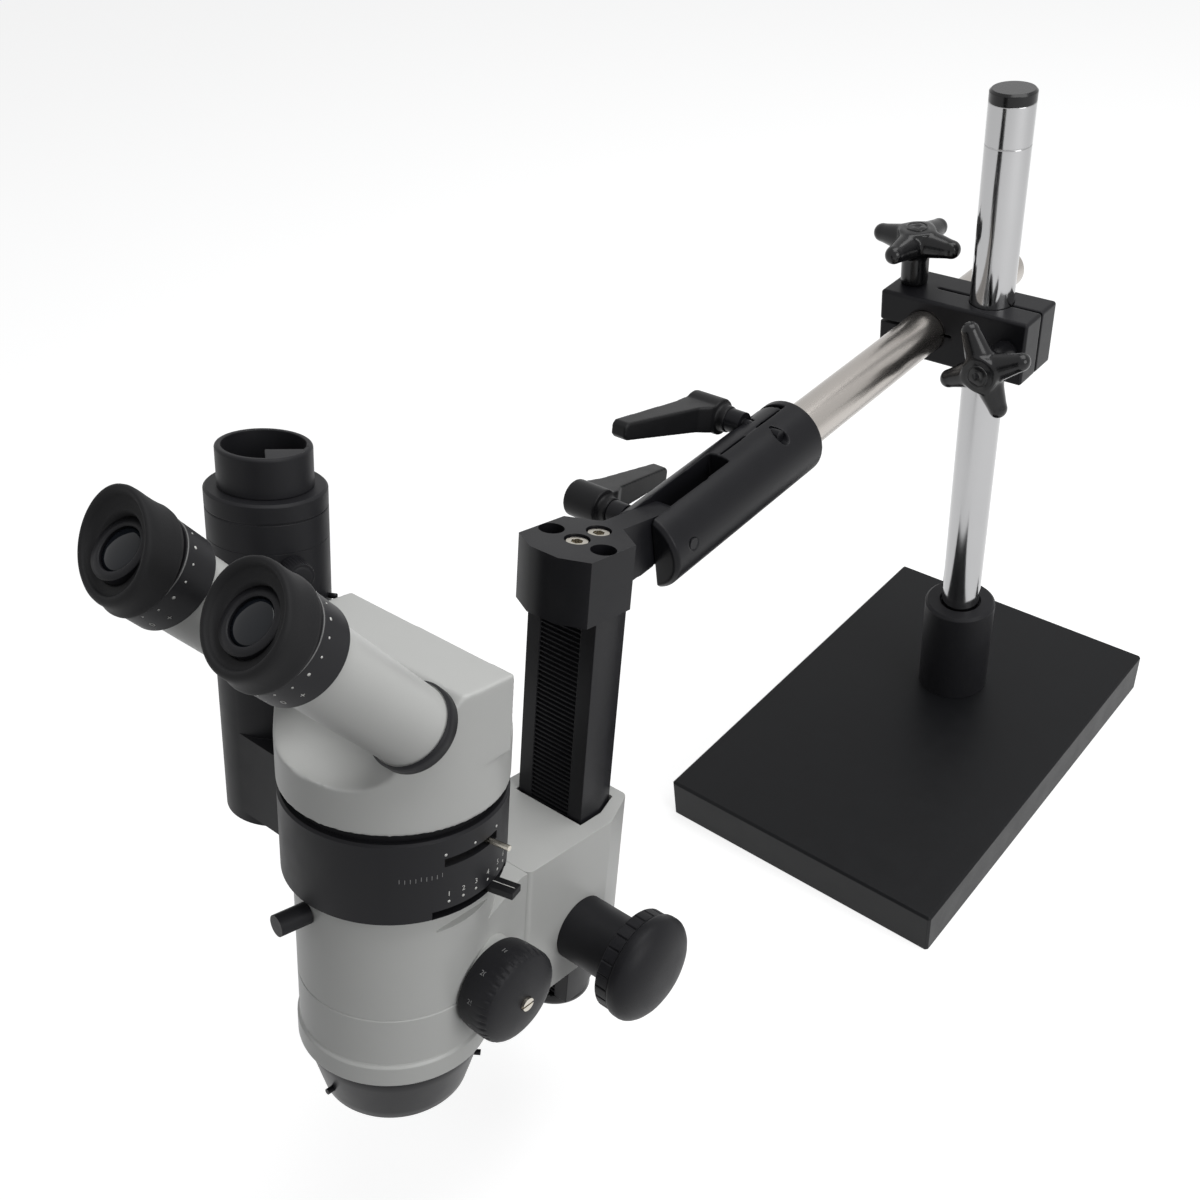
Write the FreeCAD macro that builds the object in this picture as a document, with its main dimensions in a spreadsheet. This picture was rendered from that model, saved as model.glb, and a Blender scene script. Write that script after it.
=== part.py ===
import FreeCAD, Part
import math
import os
import Sketcher
from FreeCAD import Placement, Rotation, Vector

# Stereo zoom microscope on a boom stand, in millimetres.
# Origin: centre of the base plate's underside. +Z up, +Y towards the column, +X to the operator's right.

doc = FreeCAD.newDocument("stereo_zoom_microscope")
sheet = doc.addObject("Spreadsheet::Sheet", "Sizes")

DRIVING_SIZES = [
    # Stand
    ("base_width", 200.0), ("base_length", 300.0), ("base_height", 30.0), ("base_bevel", 1.5),
    ("column_back", 51.6), ("column_radius", 12.7), ("tube_wall", 3.2), ("column_top", 432.4),
    ("cap_height", 6.2), ("plug_depth", 16.0), ("column_groove_drop", 22.0),
    ("socket_radius", 23.8), ("socket_height", 71.2), ("socket_bevel", 1.8), ("socket_mouth", 1.2),
    ("socket_bolt_circle", 18.0), ("bolt_radius", 2.5), ("bolt_head_radius", 4.2), ("bolt_head_height", 5.0),
    ("bolt_grip", 30.0),
    ("running_gap", 0.05), ("seat_gap", 0.2),
    # Cross clamp, from the column's axis
    ("clamp_left", 63.0), ("clamp_right", 31.9), ("clamp_depth", 37.5), ("clamp_height", 38.2),
    ("clamp_bevel", 1.2), ("slit_width", 1.6), ("column_slit_reach", 35.2), ("arm_slit_reach", 14.5),
    ("arm_offset", 32.0), ("arm_level", 301.3), ("arm_back_end", 85.0), ("arm_front_end", 215.0),
    ("stud_radius", 3.0), ("arm_knob_offset", 51.3), ("column_knob_offset", 20.5),
    ("knob_neck_radius", 8.3), ("knob_neck_length", 22.0), ("knob_hub_radius", 11.5), ("knob_hub_height", 12.5),
    ("knob_arm_reach", 24.0), ("knob_arm_root", 7.2), ("knob_arm_tip", 5.1), ("stud_length", 42.0),
    # Boom sleeve
    ("sleeve_radius", 20.9), ("sleeve_back", 160.0), ("sleeve_front", 286.2), ("sleeve_bevel", 2.0),
    ("fork_slot_width", 13.0), ("fork_slot_back", 224.0), ("saw_cut_back", 166.5), ("saw_cut_width", 3.4),
    ("sleeve_slit_width", 1.2), ("pin_back", 272.5), ("pin_rise", 4.0), ("pin_radius", 3.0),
    ("clamp_screw_back", 187.0), ("clamp_screw_rise", 16.5), ("screw_hole_radius", 3.4),
    # Clamping levers
    ("lever_bush_radius", 6.2), ("lever_bush_length", 9.0), ("lever_neck_radius", 7.0), ("lever_neck_length", 5.0),
    ("lever_hub_radius", 9.6), ("lever_hub_length", 20.0), ("lever_button_radius", 4.4), ("lever_button", 2.6),
    ("lever_length", 66.0), ("lever_rise", 12.0), ("lever_tip_width", 9.0), ("lever_root_width", 15.0),
    ("lever_thickness", 9.0), ("sleeve_lever_angle", 163.6), ("tilt_lever_angle", -16.1),
    # Tilting head block and bar
    ("arm_swing", 0.946), ("head_tilt", 15.0), ("head_pivot", 272.1),
    ("block_top", 16.5), ("block_bottom", -15.3), ("block_front", -85.0), ("block_nose", 8.2),
    ("block_half", 21.5), ("block_cheek", -78.0), ("block_shoulder", -48.1), ("tongue_half", 6.2),
    ("tongue_root", -38.6), ("tongue_bottom", -8.9), ("tongue_round", 12.7),
    ("screw_row", -63.2), ("screw_back_row", -48.4), ("screw_side", 15.4), ("counterbore_radius", 6.0),
    ("counterbore_depth", 7.0), ("screw_head_radius", 5.0), ("screw_head_height", 6.0), ("screw_length", 38.0),
    ("screw_socket_radius", 2.9), ("screw_socket_depth", 3.5),
    ("bar_half", 20.5), ("bar_front", -70.6), ("bar_cheek", -57.0), ("bar_back", -42.8), ("bar_back_half", 15.4),
    ("bar_bottom", -240.0), ("disc_radius", 19.6), ("disc_height", 7.0), ("disc_centre", -57.0),
    ("rack_half", 12.0), ("rack_depth", 3.0), ("gear_module", 0.8), ("pinion_teeth", 16.0), ("rack_top", -17.0),
    # Focus carriage
    ("housing_half", 30.1), ("housing_top", -123.8), ("housing_seam", -183.0), ("housing_bottom", -206.0),
    ("housing_front", -116.8), ("housing_cheek", -58.0), ("housing_back", -35.2), ("housing_back_half", 20.4),
    ("housing_round", 4.0), ("housing_mouth", 1.1), ("mouth_depth", 7.0), ("slide_gap", 0.15),
    ("shaft_back", -76.5), ("shaft_level", -178.5), ("shaft_radius", 4.0),
    ("bearing_radius", 16.8), ("bearing_end", 61.4), ("focus_knob_radius", 26.0), ("focus_rib_end", 71.6),
    ("focus_cap_radius", 27.0), ("focus_cap_end", 84.0),
    # Optical body, about its own axis
    ("optic_back", -169.2), ("beam_half", 12.0), ("beam_radius", 9.0),
    ("ring_radius", 47.3), ("ring_wall", 6.3), ("ring_top", -61.0), ("ring_bottom", -100.3), ("neck_radius", 44.0),
    ("body_radius", 42.6), ("body_wall", 4.0), ("body_seam", -155.8), ("body_bottom", -180.7), ("groove", 0.6),
    ("flare_step", 1.0), ("flare_bottom", -194.0), ("objective_step", 3.1), ("objective_radius", 32.3),
    ("objective_bottom", -224.6), ("front_lens_radius", 25.0), ("front_lens_height", 7.0),
    ("lock_pin_radius", 1.4), ("lock_pin_length", 6.5), ("lock_pin_depth", 7.5), ("lock_pin_level", -213.0),
    ("bracket_half", 29.5), ("bracket_wide", 39.0), ("bracket_back", -117.0), ("bracket_front", -152.0),
    ("bracket_bottom", -196.0), ("boss_radius", 19.0),
    ("zoom_shaft_back", -152.5), ("zoom_shaft_level", -155.0), ("zoom_knob_radius", 22.0), ("zoom_knob_gap", 0.4),
    ("zoom_knob_length", 17.5), ("zoom_knob_dome", 3.7), ("knob_screw_radius", 3.2), ("knob_screw_height", 1.4),
    ("carriage_width", 58.0), ("carriage_depth", 22.0), ("carriage_height", 12.0), ("zoom_lens_radius", 8.5),
    ("zoom_lens_height", 5.0), ("upper_group_level", -118.0), ("lower_group_level", -146.0), ("rod_radius", 2.0),
    ("rod_side", 25.0),
    # Photo port
    ("port_side", -76.0), ("port_radius", 24.4), ("port_bottom", -108.0), ("port_seam", 23.7),
    ("port_groove", 36.4), ("port_flange", 44.6), ("port_tube_radius", 19.0), ("port_tube_bore", 16.4), ("port_chord_angle", 55.0), ("port_chord_reach", 6.7),
    ("port_top", 61.5), ("port_block_top", -62.0), ("port_block_bottom", -103.0), ("port_block_half", 24.0),
    ("channel_radius", 13.0), ("channel_level", -81.0),
    ("lever_slot_start", 72.0), ("lever_slot_end", 107.0), ("lever_level", -73.0), ("photo_lever_angle", 100.5),
    ("photo_pin_radius", 1.3), ("photo_pin_reach", 57.0), ("lever_ring_inner", 37.0), ("lever_ring_height", 3.6),
    ("iris_slot_start", 66.0), ("iris_slot_end", 124.0), ("iris_level", -98.1), ("iris_lever_angle", 105.4),
    ("iris_tab_width", 7.5), ("iris_tab_reach", 58.5), ("iris_ring_inner", 34.5),
    ("prism_width", 20.0), ("prism_depth", 21.0), ("prism_height", 18.0), ("prism_park", 17.0), ("shelf_level", -92.0),
    ("thumb_radius", 5.6), ("thumb_length", 9.0), ("thumb_stud", 2.0), ("thumb_level", 17.0), ("thumb_clock", 74.0),
    ("lock_angle", -8.0), ("lock_level", -111.0), ("lock_radius", 4.8), ("lock_length", 14.0),
    # Binocular head
    ("head_radius", 47.4), ("head_bottom", -56.7), ("head_top", 1.0), ("head_half", 47.5), ("head_back", -151.0),
    ("face_offset", 178.1), ("head_floor", 3.5), ("head_wall", 4.5),
    ("dish_depth", 15.4), ("dish_half", 55.0), ("dish_back", -212.0), ("dish_level", -22.8),
    ("block_floor", -34.0), ("pupil_half", 35.2), ("eye_back", -259.9), ("eye_rise", 57.0), ("eye_angle", 45.0),
    ("eye_tube_radius", 16.1), ("eye_tube_bore", 15.0), ("eye_tube_top", -28.1), ("eye_tube_root", -93.2),
    ("collar_radius", 17.3), ("collar_root", -98.0), ("stem_width", 11.0), ("stem_inset", 1.7),
    ("stem_depth", 11.0), ("stem_length", 9.0), ("stem_bore", 3.2), ("pupil_in", 7.7), ("pupil_out", 2.3),
    ("diopter_radius", 19.05), ("diopter_top", -13.0), ("eyepiece_neck", 15.6), ("eyepiece_flange", 16.9),
    ("eyepiece_flange_top", -10.0), ("eyepiece_nose_top", -2.4), ("eyepiece_nose", 12.0), ("eyepiece_bottom", -72.0), ("eyepiece_bore", 11.0),
    ("eyelens_radius", 8.6), ("eyecup_back_radius", 19.9), ("eyecup_radius", 19.4), ("eyecup_top", 1.5),
    ("eyecup_back", -12.0), ("eyecup_rim", 16.3),
]
for row, (alias, number) in enumerate(DRIVING_SIZES, start=1):
    sheet.set(f"A{row}", alias)
    sheet.set(f"B{row}", str(number))
    sheet.setAlias(f"B{row}", alias)
doc.recompute()


class Size(float):
    """A length or angle, together with the sheet formula that gives it."""

    def __new__(cls, number, formula):
        size = float.__new__(cls, number)
        size.formula = formula
        return size

    def __add__(self, other):
        return Size(float(self) + float(other), f"({self.formula} + {formula_of(other)})")

    def __radd__(self, other):
        return Size(float(other) + float(self), f"({formula_of(other)} + {self.formula})")

    def __sub__(self, other):
        return Size(float(self) - float(other), f"({self.formula} - {formula_of(other)})")

    def __rsub__(self, other):
        return Size(float(other) - float(self), f"({formula_of(other)} - {self.formula})")

    def __mul__(self, other):
        return Size(float(self) * float(other), f"({self.formula} * {formula_of(other)})")

    def __rmul__(self, other):
        return Size(float(other) * float(self), f"({formula_of(other)} * {self.formula})")

    def __truediv__(self, other):
        return Size(float(self) / float(other), f"({self.formula} / {formula_of(other)})")

    def __neg__(self):
        return Size(-float(self), f"(-1 * {self.formula})")


def formula_of(value):
    return value.formula if isinstance(value, Size) else repr(float(value))


class SheetSizes:
    """Every cell of the sheet, read by its alias."""

    def __getattr__(self, alias):
        return Size(float(getattr(sheet, alias)), f"Sizes.{alias}")


size = SheetSizes()
nodes = {}

# Sizes that follow from others
flare_radius = size.body_radius + size.flare_step
objective_top_radius = flare_radius - size.objective_step
zoom_knob_base = size.body_radius + size.zoom_knob_gap
zoom_knob_edge = zoom_knob_base + size.zoom_knob_length
zoom_knob_end = zoom_knob_edge + size.zoom_knob_dome


def bind(thing, prop, value):
    thing.setExpression(prop, formula_of(value))


def place(thing, at):
    thing.Placement = Placement(Vector(*at), thing.Placement.Rotation)
    for axis, value in zip("xyz", at):
        if isinstance(value, Size):
            bind(thing, f"Placement.Base.{axis}", value)
    return thing


TURN_TO = {
    "+z": Rotation(),
    "-z": Rotation(Vector(1, 0, 0), 180),
    "+x": Rotation(Vector(0, 1, 0), 90),
    "-x": Rotation(Vector(0, 1, 0), -90),
    "+y": Rotation(Vector(1, 0, 0), -90),
    "-y": Rotation(Vector(1, 0, 0), 90),
}


def rod(name, radius, length, at=(0, 0, 0), along="+z"):
    cylinder = doc.addObject("Part::Cylinder", name)
    bind(cylinder, "Radius", radius)
    bind(cylinder, "Height", length)
    cylinder.Placement = Placement(Vector(), TURN_TO[along])
    return place(cylinder, at)


def sector(name, radius, height, start, end, at):
    cylinder = rod(name, radius, height)
    bind(cylinder, "Angle", end - start)
    cylinder.Placement = Placement(Vector(), Rotation(Vector(0, 0, 1), float(start)))
    return place(cylinder, at)


def cone(name, bottom, top, height, at=(0, 0, 0), along="+z"):
    piece = doc.addObject("Part::Cone", name)
    bind(piece, "Radius1", bottom)
    bind(piece, "Radius2", top)
    bind(piece, "Height", height)
    piece.Placement = Placement(Vector(), TURN_TO[along])
    return place(piece, at)


def box(name, low, high):
    block = doc.addObject("Part::Box", name)
    for prop, start, end in zip(("Length", "Width", "Height"), low, high):
        bind(block, prop, end - start)
    return place(block, low)


def joined(name, *pieces):
    fuse = doc.addObject("Part::MultiFuse", name)
    fuse.Shapes = list(pieces)
    fuse.Refine = True
    return fuse


def cut(name, base, *tools):
    difference = doc.addObject("Part::Cut", name)
    difference.Base = base
    difference.Tool = tools[0] if len(tools) == 1 else joined(f"{name}_tools", *tools)
    return difference


def shared(name, first, second):
    common = doc.addObject("Part::Common", name)
    common.Base = first
    common.Tool = second
    return common


def origin_plane(body, role):
    return next(feature for feature in body.Origin.OriginFeatures if feature.Role == role)


def outline_sketch(body, name, role, points):
    sketch = body.newObject("Sketcher::SketchObject", name)
    sketch.AttachmentSupport = [(origin_plane(body, role), "")]
    sketch.MapMode = "FlatFace"
    corners = [Vector(float(across), float(up), 0) for across, up in points]
    count = len(corners)
    for index in range(count):
        sketch.addGeometry(Part.LineSegment(corners[index], corners[(index + 1) % count]), False)
    for index in range(count):
        sketch.addConstraint(Sketcher.Constraint("Coincident", index, 2, (index + 1) % count, 1))
    for index, corner in enumerate(points):
        for kind, axis, value in (("DistanceX", -2, corner[0]), ("DistanceY", -1, corner[1])):
            if not isinstance(value, Size) and value == 0:
                sketch.addConstraint(Sketcher.Constraint("PointOnObject", index, 1, axis))
                continue
            number = sketch.addConstraint(Sketcher.Constraint(kind, -1, 1, index, 1, float(value)))
            sketch.setExpression(f"Constraints[{number}]", formula_of(value))
    return sketch


def turned(name, profile):
    """A piece turned about its own Z, from (radius, height) corners."""
    body = doc.addObject("PartDesign::Body", name)
    sketch = outline_sketch(body, f"{name}_profile", "XZ_Plane", profile)
    revolution = body.newObject("PartDesign::Revolution", f"{name}_turn")
    revolution.Profile = sketch
    revolution.ReferenceAxis = (sketch, ["V_Axis"])
    revolution.Angle = 360
    sketch.Visibility = False
    return body


def padded(name, role, points, start, length):
    """A plate of the given outline, from start along the plane's normal."""
    body = doc.addObject("PartDesign::Body", name)
    sketch = outline_sketch(body, f"{name}_outline", role, points)
    bind(sketch, "AttachmentOffset.Base.z", start)
    pad = body.newObject("PartDesign::Pad", f"{name}_pad")
    pad.Profile = sketch
    bind(pad, "Length", length)
    return body


def mirrored(points):
    """The outline made whole from its right half, listed from front to back."""
    return list(points) + [(-across, along) for across, along in reversed(points)]


def softened(name, base, feature, radius, wanted):
    """Bevels or rounds the edges that pass the test."""
    doc.recompute()
    piece = doc.addObject(feature, name)
    piece.Base = base
    numbers = [index for index, edge in enumerate(base.Shape.Edges, start=1) if wanted(edge)]
    piece.Edges = [(index, float(radius), float(radius)) for index in numbers]
    return piece


def solid_feature(name, shape):
    feature = doc.addObject("Part::Feature", name)
    feature.Shape = shape
    return feature


def node(label, piece, frame=None):
    piece.Label = label
    nodes[label] = (piece, frame or Placement())
    return piece


def is_upright(edge):
    box_ = edge.BoundBox
    return box_.ZLength > 1 and box_.XLength < 0.01 and box_.YLength < 0.01


def is_level(height):
    return lambda edge: abs(edge.BoundBox.ZMin - height) < 0.01 and abs(edge.BoundBox.ZMax - height) < 0.01


# Frames: the column's, the tilted head's, and one for each eyepiece
column_frame = Placement(Vector(0, size.column_back, 0), Rotation(Vector(0, 0, 1), float(size.arm_swing)))
head_origin = Vector(-size.arm_offset, -size.head_pivot, size.arm_level)
head_frame = column_frame * Placement(head_origin, Rotation(Vector(1, 0, 0), -float(size.head_tilt)))


def eye_frame(side):
    spot = Vector(side * size.pupil_half, size.eye_back, size.eye_rise)
    return head_frame * Placement(spot, Rotation(Vector(1, 0, 0), float(size.eye_angle)))


# Base plate, with countersunk bolts up into the column's socket
def base_plate():
    half_width = size.base_width / 2
    half_length = size.base_length / 2
    slab = box("base_slab", (-half_width, -half_length, 0), (half_width, half_length, size.base_height))
    bevelled = softened("base_bevelled", slab, "Part::Chamfer", size.base_bevel,
                        lambda edge: is_upright(edge) or is_level(size.base_height)(edge))
    tools = []
    for index, (x, y) in enumerate(bolt_spots()):
        tools.append(rod(f"base_bolt_hole_{index}", size.bolt_radius + size.seat_gap, size.base_height, (x, y, 0)))
        tools.append(rod(f"base_bolt_seat_{index}", size.bolt_head_radius + size.seat_gap,
                         size.bolt_head_height + 1, (x, y, 0)))
    node("base_plate", cut("base_plate", bevelled, *tools))


def bolt_spots():
    spots = []
    for turn in (90, 210, 330):
        across = size.socket_bolt_circle * math.cos(math.radians(turn))
        along = size.column_back + size.socket_bolt_circle * math.sin(math.radians(turn))
        spots.append((across, along))
    return spots


def socket_bolts():
    bolts = []
    for index, (x, y) in enumerate(bolt_spots()):
        head_top = size.bolt_head_height + 1
        head = rod(f"bolt_head_{index}", size.bolt_head_radius, size.bolt_head_height, (x, y, 1))
        shank = rod(f"bolt_shank_{index}", size.bolt_radius, size.bolt_grip, (x, y, head_top))
        key = rod(f"bolt_key_{index}", size.bolt_radius * 0.8, 2.5, (x, y, 1))
        bolts.append(cut(f"bolt_{index}", joined(f"bolt_blank_{index}", head, shank), key))
    node("socket_bolts", joined("socket_bolts", *bolts))


def column_socket():
    top = size.base_height + size.socket_height
    bore = size.column_radius + size.running_gap
    mouth = size.column_radius + size.socket_mouth
    blank = turned("socket_turned", [
        (bore, size.base_height), (size.socket_radius, size.base_height),
        (size.socket_radius, top - size.socket_bevel), (size.socket_radius - size.socket_bevel, top),
        (mouth, top), (mouth, top - 3), (bore, top - 3)])
    holes = []
    reach = size.bolt_head_height + 1 + size.bolt_grip - size.base_height + 1
    for index, (x, y) in enumerate(bolt_spots()):
        holes.append(rod(f"socket_thread_{index}", size.bolt_radius, reach,
                         (x, y - size.column_back, size.base_height)))
    socket = cut("column_socket", blank, *holes)
    node("column_socket", socket, Placement(Vector(0, size.column_back, 0), Rotation()))


def column():
    groove_level = size.column_top - size.column_groove_drop
    inner = size.column_radius - size.tube_wall
    node("column", turned("column", [
        (inner, size.base_height), (size.column_radius, size.base_height),
        (size.column_radius, groove_level - 0.4), (size.column_radius - 0.3, groove_level - 0.2),
        (size.column_radius - 0.3, groove_level + 0.2), (size.column_radius, groove_level + 0.4),
        (size.column_radius, size.column_top - 0.5), (size.column_radius - 0.5, size.column_top),
        (inner, size.column_top)]), column_frame)
    cap_top = size.column_top + size.cap_height
    node("column_cap", turned("column_cap", [
        (0, size.column_top - size.plug_depth), (inner, size.column_top - size.plug_depth),
        (inner, size.column_top), (size.column_radius, size.column_top),
        (size.column_radius, cap_top - 1.2), (size.column_radius - 1.2, cap_top), (0, cap_top)]), column_frame)


# Cross clamp: one block with two crossed, slit bores
def cross_clamp():
    half = size.clamp_depth / 2
    low = size.arm_level - size.clamp_height / 2
    high = size.arm_level + size.clamp_height / 2
    block = box("clamp_block", (-size.clamp_left, -half, low), (size.clamp_right, half, high))
    bevelled = softened("clamp_bevelled", block, "Part::Chamfer", size.clamp_bevel, lambda edge: True)
    bore = size.column_radius + size.running_gap
    hole = size.stud_radius + size.running_gap
    slit = size.slit_width / 2
    node("cross_clamp", cut(
        "cross_clamp", bevelled,
        rod("clamp_column_bore", bore, size.clamp_height, (0, 0, low)),
        rod("clamp_arm_bore", bore, size.clamp_depth, (-size.arm_offset, -half, size.arm_level), "+y"),
        box("clamp_column_slit", (-size.column_slit_reach, -slit, low), (size.clamp_right, slit, high)),
        box("clamp_arm_slit", (-size.clamp_left, -half, size.arm_level - slit),
            (-size.arm_slit_reach, half, size.arm_level + slit)),
        rod("clamp_arm_stud_hole", hole, size.clamp_height, (-size.arm_knob_offset, 0, low)),
        rod("clamp_column_stud_hole", hole, size.clamp_depth,
            (size.column_knob_offset, -half, size.arm_level), "+y")), column_frame)


def star_knob(label, spot, along, first_arm):
    """Four-armed knob moulded round its stud; its own Z points away from the clamp."""
    neck = rod(f"{label}_neck", size.knob_neck_radius, size.knob_neck_length, (0, 0, size.seat_gap))
    seat = size.knob_neck_length + size.seat_gap
    hub = rod(f"{label}_hub", size.knob_hub_radius, size.knob_hub_height, (0, 0, seat - 1))
    middle = seat - 1 + size.knob_hub_height / 2
    pieces = [neck, hub]
    for index in range(4):
        arm = cone(f"{label}_arm_{index}", size.knob_arm_root, size.knob_arm_tip, size.knob_arm_reach)
        tip = doc.addObject("Part::Sphere", f"{label}_tip_{index}")
        bind(tip, "Radius", size.knob_arm_tip)
        turn = Rotation(Vector(0, 0, 1), first_arm + 90 * index)
        arm.Placement = Placement(Vector(0, 0, middle), turn * TURN_TO["+x"])
        tip.Placement = Placement(turn.multVec(Vector(size.knob_arm_reach, 0, 0)) + Vector(0, 0, middle), turn)
        pieces.extend((arm, tip))
    recess = rod(f"{label}_recess", size.knob_hub_radius * 0.45, 1.2, (0, 0, seat - 2.2 + size.knob_hub_height))
    stud = rod(f"{label}_stud", size.stud_radius, size.stud_length, (0, 0, size.seat_gap + 6 - size.stud_length))
    frame = column_frame * Placement(spot, TURN_TO[along])
    node(label, cut(label, joined(f"{label}_whole", stud, *pieces), recess), frame)


def boom_arm():
    inner = size.column_radius - size.tube_wall
    frame = column_frame * Placement(Vector(-size.arm_offset, 0, size.arm_level), TURN_TO["-y"])
    node("boom_arm", turned("boom_arm", [
        (inner, -size.arm_back_end), (size.column_radius - 0.5, -size.arm_back_end),
        (size.column_radius, 0.5 - size.arm_back_end), (size.column_radius, size.arm_front_end - 0.5),
        (size.column_radius - 0.5, size.arm_front_end), (inner, size.arm_front_end)]), frame)
    node("arm_end_plug", turned("arm_end_plug", [
        (0, -size.arm_back_end - 1.5), (inner + 1.5, -size.arm_back_end - 1.5), (inner + 1.5, -size.arm_back_end),
        (inner, -size.arm_back_end), (inner, size.plug_depth - size.arm_back_end),
        (0, size.plug_depth - size.arm_back_end)]), frame)


# Boom sleeve: clamps on the arm at the back, forks round the head's tongue at the front
def sleeve_frame():
    return column_frame * Placement(Vector(-size.arm_offset, 0, size.arm_level), Rotation())


def boom_sleeve():
    length = size.sleeve_front - size.sleeve_back
    blank = rod("sleeve_blank", size.sleeve_radius, length, (0, -size.sleeve_back, 0), "-y")
    bevelled = softened("sleeve_bevelled", blank, "Part::Chamfer", size.sleeve_bevel,
                        lambda edge: edge.BoundBox.YLength < 0.01)
    bore_depth = size.arm_front_end + 1 - size.sleeve_back
    fork = size.fork_slot_width / 2
    wide = size.sleeve_radius + 1
    slit = size.sleeve_slit_width / 2
    node("boom_sleeve", cut(
        "boom_sleeve", bevelled,
        rod("sleeve_bore", size.column_radius + size.running_gap, bore_depth, (0, -size.sleeve_back, 0), "-y"),
        box("sleeve_fork", (-fork, -size.sleeve_front - 1, -wide), (fork, -size.fork_slot_back, wide)),
        box("sleeve_saw_cut", (-wide, -size.saw_cut_back - size.saw_cut_width, -wide), (0, -size.saw_cut_back, wide)),
        box("sleeve_slit", (-slit, -size.fork_slot_back - 1, 0), (slit, -size.saw_cut_back, wide)),
        rod("sleeve_pin_hole", size.pin_radius, 2 * wide, (-wide, -size.pin_back, size.pin_rise), "+x"),
        rod("sleeve_screw_hole", size.screw_hole_radius, 2 * wide,
            (-wide, -size.clamp_screw_back, size.clamp_screw_rise), "+x"),
        box("sleeve_screw_flat", (-wide, -size.clamp_screw_back - 8, size.clamp_screw_rise - 8),
            (-screw_flat(), -size.clamp_screw_back + 8, wide))), sleeve_frame())
    pin_reach = size.sleeve_radius - 0.4
    spot = (pin_reach, -size.pin_back, size.pin_rise)
    pin = rod("tilt_pin_rod", size.pin_radius, 2 * pin_reach + size.lever_bush_length + 10, spot, "-x")
    spacer = rod("tilt_pin_spacer", size.lever_bush_radius, size.lever_bush_length - 0.2,
                 (-size.sleeve_radius, -size.pin_back, size.pin_rise), "-x")
    node("tilt_pin", joined("tilt_pin", pin, spacer), sleeve_frame())


def screw_flat():
    return size.clamp_screw_rise - 5.5


def sleeve_screw(frame):
    reach = size.clamp_screw_rise + 6
    bush = rod("sleeve_screw_bush", size.lever_bush_radius, size.lever_bush_length - 0.2, (0, 0, 0.2))
    shank = rod("sleeve_screw_shank", size.stud_radius,
                reach + size.lever_bush_length + size.lever_neck_length + 7, (0, 0, -reach))
    node("sleeve_screw", joined("sleeve_screw", bush, shank), frame)


def clamping_lever(label, seat, back, rise, angle):
    """Adjustable handle whose own Z points left, away from the sleeve, and whose X is the handle's way."""
    neck_start = size.lever_bush_length
    hub_start = neck_start + size.lever_neck_length
    hub_end = hub_start + size.lever_hub_length
    neck = rod(f"{label}_neck", size.lever_neck_radius, size.lever_neck_length, (0, 0, neck_start))
    hub = rod(f"{label}_hub", size.lever_hub_radius, size.lever_hub_length, (0, 0, hub_start))
    button = rod(f"{label}_button", size.lever_button_radius, size.lever_button, (0, 0, hub_end))
    tip_low = hub_start + size.lever_rise
    tip_high = tip_low + size.lever_thickness
    side = padded(f"{label}_side", "XZ_Plane", [
        (0, hub_start), (size.lever_hub_radius, hub_start), (size.lever_hub_radius + 7, hub_start + 4),
        (size.lever_length, tip_low), (size.lever_length, tip_high),
        (size.lever_hub_radius + 8, hub_end - 1), (size.lever_hub_radius, hub_end), (0, hub_end)],
        -size.lever_root_width / 2, size.lever_root_width)
    plan = padded(f"{label}_plan", "XY_Plane", [
        (0, -size.lever_root_width / 2), (size.lever_length - 2, -size.lever_tip_width / 2),
        (size.lever_length, 2 - size.lever_tip_width / 2), (size.lever_length, size.lever_tip_width / 2 - 2),
        (size.lever_length - 2, size.lever_tip_width / 2), (0, size.lever_root_width / 2)],
        hub_start - 1, size.lever_hub_length + size.lever_rise)
    handle = shared(f"{label}_handle", side, plan)
    hollow = rod(f"{label}_bore", size.stud_radius + size.running_gap, size.lever_neck_length + 8, (0, 0, neck_start))
    across = Vector(0, math.cos(math.radians(angle)), math.sin(math.radians(angle)))
    outward = Vector(-1, 0, 0)
    turn = Rotation(across, outward.cross(across), outward, "ZXY")
    frame = sleeve_frame() * Placement(Vector(-seat, -back, rise), turn)
    node(label, cut(label, joined(f"{label}_whole", neck, hub, button, handle), hollow), frame)
    return frame


# Head block with its tongue, the rack bar below it and the disc that ends the bar
def pin_place():
    drop = float(size.head_pivot - size.pin_back)
    tilt = math.radians(float(size.head_tilt))
    back = drop * math.cos(tilt) - float(size.pin_rise) * math.sin(tilt)
    rise = drop * math.sin(tilt) + float(size.pin_rise) * math.cos(tilt)
    return back, rise


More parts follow.
